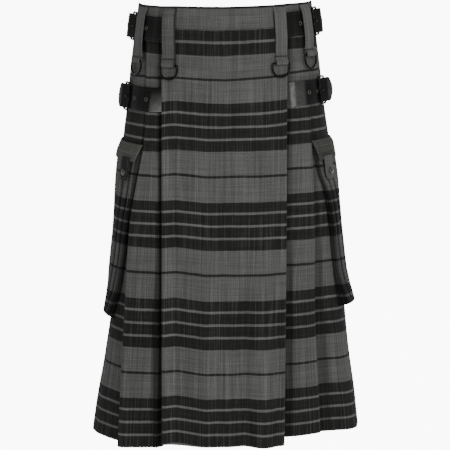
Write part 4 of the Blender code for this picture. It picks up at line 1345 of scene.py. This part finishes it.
def make_strap(name, leather, metal, bright, hole, thread):
    """Strap with its painted sheen, stitches, eyelets and holes, and its buckle."""
    centre, across, out, height = strap_line(name)
    half = STRAP_HEIGHT / 2
    outline = slab(half, LEATHER, 0.8, 4) / (half, 1.0)
    scale = np.stack([height, np.ones_like(height)], axis=-1)
    piece = swept("strap_%s_leather" % name, centre, across, out, outline, leather, scale=scale)
    wear(piece, "kilt", "black_leather", "strap_" + name)
    # painted highlight: the grey painted sheen near the apron's edge
    if name in PAINTED_SHEEN:
        spots, at_top = PAINTED_SHEEN[name]
        strength = from_pairs(spots, np.abs(centre[:, 0]))[:, None]
        set_field(piece, "painted_sheen", strength * np.interp(outline[:, 0], (-1, 1), (1.0, at_top)))
    top = LEATHER / 2 - 0.12
    rows = []
    for edge in (-1, 1):
        inset = np.clip(height - STITCH_INSET, 0.8, None) * edge
        path = centre + inset[:, None] * across + top * out
        rows.append((path[4:-3], out[4:-3]))
    for k in (4, 9):
        share = np.linspace(-1, 1, 12)[:, None] * (height[k] - STITCH_INSET)
        path = centre[k] + share * across[k] + top * out[k]
        rows.append((path, np.broadcast_to(out[k], path.shape)))
    stitches("strap_%s_stitches" % name, rows, thread, pitch=3.0, length=2.2, radius=0.3)
    angle, drop = STRAPS[name][:2]
    near = []
    for turn in HOLES[name]:
        target = surf(turn, drop, strap_off(name, abs(turn)))
        near.append(int(np.argmin(np.linalg.norm(centre - target, axis=1))))
    spots = []
    for k in near + [-TIP_EYELET]:
        spots.append((centre[k] + out[k] * LEATHER / 2, across[k], unit(np.cross(out[k], across[k])), out[k]))
    eyelets = turned("strap_%s_eyelets" % name, EYELET, spots, bright)
    turned("strap_%s_holes" % name, HOLE, spots, hole)
    make_buckle(name, seat(angle, drop), leather, metal)


def make_buckle(name, here, leather, metal):
    """Rectangular frame of round wire, its pin hooked round the heel bar, and the leather that
    holds the heel bar."""
    across, up = FRAME_HALF
    corner = 3.5
    points = []
    for quarter, (sx, sy) in enumerate(((1, 1), (-1, 1), (-1, -1), (1, -1))):
        turn = np.radians(90.0 * quarter + np.linspace(0, 90, 8))
        points.append(np.stack([sx * (across - corner) + corner * np.cos(turn),
                                sy * (up - corner) + corner * np.sin(turn)], axis=-1))
    s, v = np.concatenate(points).T
    path = seat_point(here, s, np.full(len(s), BAR_LEVEL), v)
    piece = wire("buckle_frame_%s_wire" % name, path, here[2], FRAME_WIRE, metal, closed=True)
    wear(piece, "kilt", "dark_nickel", "buckle_frame_" + name)
    turn = np.radians(np.linspace(200.0, 0.0, 22))
    s = np.concatenate([across + HOOK * np.sin(turn), np.linspace(across * 0.5, -across - 1.6, 8)])
    n = np.concatenate([BAR_LEVEL + HOOK * np.cos(turn), np.full(8, PIN_LEVEL)])
    path = seat_point(here, s, n, 0.0 * s)
    piece = wire("buckle_pin_%s_wire" % name, path, here[3], PIN, metal)
    wear(piece, "kilt", "dark_nickel", "buckle_pin_" + name)
    make_chape(name, here, leather)


def make_chape(name, here, leather):
    """Leather loop round the heel bar, slotted for the pin, both ends sewn to the side panel."""
    angle, drop = STRAPS[name][:2]
    side = side_of(angle)
    wall = 1.2
    around = FRAME_WIRE + 0.35 + wall / 2
    across = FRAME_HALF[0]
    near = across + 5.0
    rear = LIE + wall / 2
    turn = np.radians(24.0 - 228.0 * np.arange(9) / 8.0)
    s = np.concatenate([[near], across + around * np.sin(turn), [near]])
    n = np.concatenate([[around * 0.72], around * np.cos(turn), [-around * 0.85]]) + BAR_LEVEL
    loop = seat_point(here, s, n, 0.0 * s)
    ends = []
    for level, runs in ((rear + wall + 0.3, (32.0, 24.0)), (rear, (24.0, 32.0))):
        ends += [surf(side * slide(abs(angle), run, drop), drop, level) for run in runs]
    line = np.concatenate([ends[:2], loop, ends[2:]])
    line, run = smooth_line(line, 1.0)
    high = 14.5
    v = np.concatenate([np.linspace(high, 2.4, 8), np.linspace(-2.4, -high, 8)])
    grid = line[:, None, :] + v[None, :, None] * here[3]
    local = (line - here[0]) @ here[1]
    slot_rows = local[:-1] < near - 1.0
    skip = np.zeros((len(line) - 1, len(v) - 1), bool)
    skip[slot_rows, 7] = True
    uv = cloth_uv(run[:, None], v[None, :])
    if side > 0:
        grid, uv, skip = grid[::-1], uv[::-1], skip[::-1]
    piece = cloth_piece("chape_%s_leather" % name, grid, uv, leather, wall, skip=skip)
    wear(piece, "kilt", "black_leather", "chape_" + name)


# ---------------------------------------------------------------- cargo pockets
# front edge of the pocket, just behind the pleat panel's fold: drop, angle
POCKET_FRONT = {
    -1: ((204, 54.8), (255, 56.4), (285, 57.8), (350, 61.6), (405, 67.0), (441, 74.0)),
    1: ((204, 58.0), (245, 61.0), (265, 64.5), (325, 70.0), (395, 74.0), (436, 77.0)),
}
POCKET_TO = 111.0          # angle of the pocket's rear edge
POCKET_TOP = 204.0         # drop of its mouth
POCKET_LOW = {-1: 441.0, 1: 434.0}    # drop of its foot
POCKET_STAND = {           # how far the pocket's face stands off the side: drop, distance
    -1: ((204, 3.0), (300, 6.0), (400, 7.0), (441, 11.0)),
    1: ((204, 3.0), (300, 7.0), (385, 7.0), (405, 9.5), (434, 16.0)),
}
POCKET_MOUTH = 3.0         # how far the mouth stands off under the flap
POCKET_FOOT = 5.0          # height over which the foot rounds in
# gusset of a pocket from the panel outward: share of the stand-off, mm it is tucked in
GUSSET = ((0.0, -0.6), (0.2, 3.0), (0.45, -0.4), (0.68, 2.6), (0.92, 0.1))
# folds down the front of the pocket's face: degrees behind its front edge, mm folded in
BELLOWS = (
    (1.0, 0.0), (2.6, -0.5), (3.9, 0.0), (4.3, 3.6), (4.9, 4.0), (5.4, 1.2), (6.4, -0.2), (8.4, -0.6),
    (9.9, 0.1), (10.3, 3.4), (10.9, 3.9), (11.5, 1.2), (12.6, -0.2), (15.5, -0.5), (17.0, 0.1),
    (17.5, 2.2), (18.1, 2.4), (18.8, 0.5), (20.0, 0.0),
)
# painted shade in the folds of a pocket: degrees behind its front edge, half width, share
POCKET_PAINTED_SHADE = ((0.2, 1.0, 0.95), (5.2, 1.1, 0.85), (11.6, 1.5, 0.8), (18.0, 1.2, 0.5))


def pocket_front(side, drop):
    """Angle of the pocket's front edge at a drop."""
    return from_pairs(POCKET_FRONT[side], drop)


def pocket_height(side, drop):
    """Stand-off of the pocket's outer face at a drop."""
    return from_pairs(POCKET_STAND[side], drop)


def pocket_section(side, drop):
    """Angles and stand-offs of a pocket across: a pleated gusset, the face, a pleated gusset."""
    low = POCKET_LOW[side]
    front = pocket_front(side, drop)
    foot = np.clip((drop - low + POCKET_FOOT) / POCKET_FOOT, 0, 1)
    base = CLOTH / 2 + 0.6
    rise = (pocket_height(side, drop) - base) * np.sqrt(np.clip(1 - foot ** 2, 0, 1))
    columns = []
    for share, tuck in GUSSET:
        columns.append((slide(front, tuck * (1 - foot), drop), base + rise * share))
    for ahead, fold in BELLOWS:
        deep = np.minimum(fold * step(low - drop, 3.0, 26.0), rise - 0.2)
        columns.append((front + ahead, base + rise - deep))
    after = front + BELLOWS[-1][0]
    for k in range(1, 7):
        share = k / 6.5
        bulge = 1.3 * math.sin(math.pi * share) + 0.5 * math.sin(5.0 * share + side)
        columns.append((after + (POCKET_TO - after) * share, base + rise + bulge * (1 - foot)))
    for share, tuck in GUSSET[::-1]:
        columns.append((slide(POCKET_TO, -tuck * (1 - foot), drop) + 0.0 * drop, base + rise * share))
    return row_of(*columns)


def make_pocket(side, word, cloth, thread):
    """Pocket bag: its section at each drop on the side panel, and two rows of stitches."""
    low = POCKET_LOW[side]
    foot = low - POCKET_FOOT * (1 - np.linspace(0, 1, 9)[1:])
    drop = np.concatenate([drops_to(POCKET_TOP, low - POCKET_FOOT, 3.0), foot])
    turn, stand = pocket_section(side, drop)
    points = surf(side * turn, drop[:, None], side_off(side, turn, drop[:, None]) + stand)
    knots, fine = refine(points, 2.6)
    turn = spline(knots, turn.T, fine).T
    stand = spline(knots, stand.T, fine).T
    down = drop[:, None]
    free = step(stand, 3.0, 6.0) * step(low - down, 10.0, 40.0)
    stand = stand + 0.5 * free * np.sin(down / 23.0 + turn / 9.0)
    grid = surf(side * turn, down, side_off(side, turn, down) + stand)
    uv = cloth_uv(fine[None, :], threads(down))
    ahead = turn - pocket_front(side, down)
    # painted shade in the bellows folds, and a painted shadow along the front edge lower down, none beyond 24
    # degrees
    unworn = sum(dark * hump(ahead, middle, wide) for middle, wide, dark in POCKET_PAINTED_SHADE)
    unworn = np.clip(unworn + 0.5 * step(down, 245.0, 290.0) * (1 - step(ahead, 4.5, 6.5)), 0.0, 0.95)
    unworn = unworn * (1 - step(ahead, 24.0, 28.0))
    piece = cloth_part("pocket_" + word, grid[:, ::side], uv[:, ::side], cloth, SHELL,
                       unworn=unworn[:, ::side])
    rows = []
    line = np.linspace(FLAP_TOP[side] + FLAP_HIGH[side] + 4.0, low - POCKET_FOOT - 2.0, 80)
    for angle in (pocket_front(side, line) + 2.6, np.full(80, POCKET_TO - 1.6)):
        off = side_off(side, angle, line) + pocket_height(side, line) + 0.9
        rows.append(on_body(side * angle, line, off))
    stitches("pocket_%s_stitches" % word, rows, thread)


FLAP_TOP = {-1: 190.0, 1: 195.0}     # drop of the flap's sewn top edge
FLAP_HIGH = {-1: 25.0, 1: 29.0}
FLAP_KNEE = {-1: 1.0, 1: 2.4}     # how far the flap stands out 5 mm below its top edge
FLAP_FRONT = {-1: (50.5, 54.0), 1: (54.2, 59.0)}    # angle of its front edge, top and foot
FLAP_TO = POCKET_TO + 2.0
FLAP_PAINTED_LIGHT_AND_SHADE = {-1: -0.45, 1: 0.12}     # painted light on the left flap, painted shade on the right one


def flap_front(side, fall):
    """Angle of the flap's front edge at a height below its top edge."""
    return np.interp(fall, (0.0, FLAP_HIGH[side]), FLAP_FRONT[side])


def flap_off(side, turn, drop):
    """Middle of the flap off the body line: on the pleat panel's edge in front, over the pocket
    behind, and curved out below its sewn top edge."""
    top = FLAP_TOP[side]
    fold = fold_angle(side, drop)
    stand = np.interp(drop, (top, top + 5, POCKET_TOP, top + FLAP_HIGH[side]),
                      (0, FLAP_KNEE[side], POCKET_MOUTH, POCKET_MOUTH + 1.0))
    over = np.interp(turn - fold, (-4.0, 2.5, 8.0), (0.0, 0.5, 1.0))
    pleat = at(PLEAT[side]["outer"][1], drop) + 0.8
    cover = pleat + (-2.0 - pleat) * np.interp(turn - fold, (3.0, 11.0), (0.0, 1.0))
    clear = np.interp(drop, (top, top + 5, POCKET_TOP), (CLOTH * 0.5 + 0.45, CLOTH + 0.1, CLOTH + 0.6))
    return np.maximum(cover, side_off(side, turn, drop)) + stand * over + clear


def make_flap(side, word, cloth, thread):
    """Flap: rounded in at its free edges, dented along its seam and in slight waves."""
    high = FLAP_HIGH[side]
    down = np.linspace(0.0, high, 30)[:, None]
    front = flap_front(side, down)
    turn = front + (FLAP_TO - front) * np.linspace(0, 1, 76)[None, :]
    drop = FLAP_TOP[side] + down
    edge = 0.5 * (hump(down, high, 1.2) + hump(turn, front, 0.5) + hump(turn, FLAP_TO, 0.5))
    sewn = hump(down, high - 4.0, 1.2) + hump(turn, front + 1.9, 0.55)
    wave = 0.45 * np.sin(turn / 6.5 + side) * step(down, 8.0, high)
    grid = surf(side * turn, drop, flap_off(side, turn, drop) - edge - 0.3 * sewn + wave)
    run = run_along(grid[16])
    uv = cloth_uv(drop, run[None, :])
    # painted light on the left flap and painted shade on the right one
    piece = cloth_part("pocket_flap_" + word, grid[:, ::side], uv[:, ::side], cloth, SHELL + 0.2,
                       unworn=FLAP_PAINTED_LIGHT_AND_SHADE[side])
    share = np.linspace(0.02, 0.98, 120)
    seams = []
    for fall in (2.5, high - 3.5):
        start = flap_front(side, fall)
        seams.append((start + (FLAP_TO - start) * share, FLAP_TOP[side] + fall))
    falls = np.linspace(3.0, high - 3.5, 30)
    for turns in (flap_front(side, falls) + 1.6, np.full(30, FLAP_TO - 1.6)):
        seams.append((turns, FLAP_TOP[side] + falls))
    rows = []
    for turns, level in seams:
        rows.append(on_body(side * turns, level, flap_off(side, turns, level) + CLOTH / 2 - 0.1))
    stitches("pocket_flap_%s_stitches" % word, rows, thread)


TAB_ANGLE = {-1: 62.5, 1: 67.0}
TAB_HALF = 5.0            # half its width in degrees
TAB_WALL = 1.4
TAB_LIE = 0.6             # how far the tab lies off the flap
TAB_ABOVE = 6.0           # how far the tab starts above the flap's foot, and hangs below it
TAB_BELOW = 27.0
SNAP_FALL = 16.0          # how far the snap sits below the flap's foot
SNAP = (                   # radius, height
    (0.3, 0.3), (4.9, 0.3), (5.0, 0.9), (4.6, 1.5), (3.9, 1.75), (3.3, 1.55), (2.9, 2.0), (1.6, 2.55),
    (0.3, 2.7),
)


def make_tab(side, word, cloth, metal, thread):
    """Closure tab over the flap's edge, its foot a blunt point, and its snap."""
    flap_foot = FLAP_TOP[side] + FLAP_HIGH[side]
    fall = np.linspace(-TAB_ABOVE, TAB_BELOW, 36)[:, None]
    share = np.linspace(-1, 1, 15)[None, :]
    narrow = np.interp(fall, (TAB_BELOW - 8.0, TAB_BELOW - 1.0, TAB_BELOW), (1.0, 0.74, 0.66))
    turn = TAB_ANGLE[side] + share * TAB_HALF * narrow
    off = flap_off(side, turn, flap_foot + np.minimum(fall, 0.0)) + (CLOTH + TAB_WALL) / 2 + TAB_LIE
    off = off - 0.35 * np.abs(share) ** 6
    grid = surf(side * turn, flap_foot + fall, off)
    uv = cloth_uv(share * 11.0, fall)
    piece = cloth_part("pocket_tab_" + word, grid[:, ::side], uv[:, ::side], cloth, TAB_WALL)
    normal = outward(grid) * side
    lift_off = TAB_WALL / 2 - 0.1
    rows = [(grid[1:-3, k] + normal[1:-3, k] * lift_off, normal[1:-3, k]) for k in (2, -3)]
    rows.append((grid[-4, 2:-2] + normal[-4, 2:-2] * lift_off, normal[-4, 2:-2]))
    stitches("pocket_tab_%s_stitches" % word, rows, thread, pitch=2.8, length=2.1)
    base = flap_off(side, np.float64(TAB_ANGLE[side]), flap_foot) + CLOTH / 2 + TAB_LIE + TAB_WALL + 0.55
    origin, along, out, up = seat(side * TAB_ANGLE[side], flap_foot + SNAP_FALL, base)
    snap = turned("pocket_snap_%s_cap" % word, SNAP, [(origin, along * side, up, out)], metal)
    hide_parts("pocket_snap_" + word)


# ---------------------------------------------------------------- build
make_camera()
make_studio()
tartan = woven_cloth("yarn_dyed_tartan")
plain_grey = woven_cloth("plain_grey_weave", GREY)
plain_black = woven_cloth("plain_black_weave", BLACK)
plain_olive = woven_cloth("plain_olive_weave", OLIVE)
cowhide = grain_leather()
# tumbled until it is a dark mirror dulled by fine scratches
nickel = nickel_plate("tumbled_dark_nickel", 3.0, 5.0, (0.4, 0.75), ("#161616", "#31302f"), (0.24, 0.42))
# kept bright by handling: mid grey, with a fine brushed unevenness
worn_nickel = nickel_plate("bright_nickel_plate", 2.0, 3.0, (0.35, 0.7), ("#484745", "#63615e"), (0.24, 0.36))
grey_thread = sewing_thread("spun_grey_thread", "#4a4a49")
black_thread = sewing_thread("spun_black_thread", "#161616")

make_waistband(tartan, grey_thread)
make_skirt(tartan)
for name in LOOPS:
    make_loop(name, plain_grey, black_thread)
    make_ring(name, nickel)
make_back_loop(plain_grey, black_thread)
for name in STRAPS:
    make_strap(name, cowhide, nickel, worn_nickel, plain_black, black_thread)
for side, word in SIDES:
    make_pocket(side, word, tartan, grey_thread)
    make_flap(side, word, plain_olive, grey_thread)
    make_tab(side, word, plain_grey if side > 0 else plain_black, worn_nickel, grey_thread)
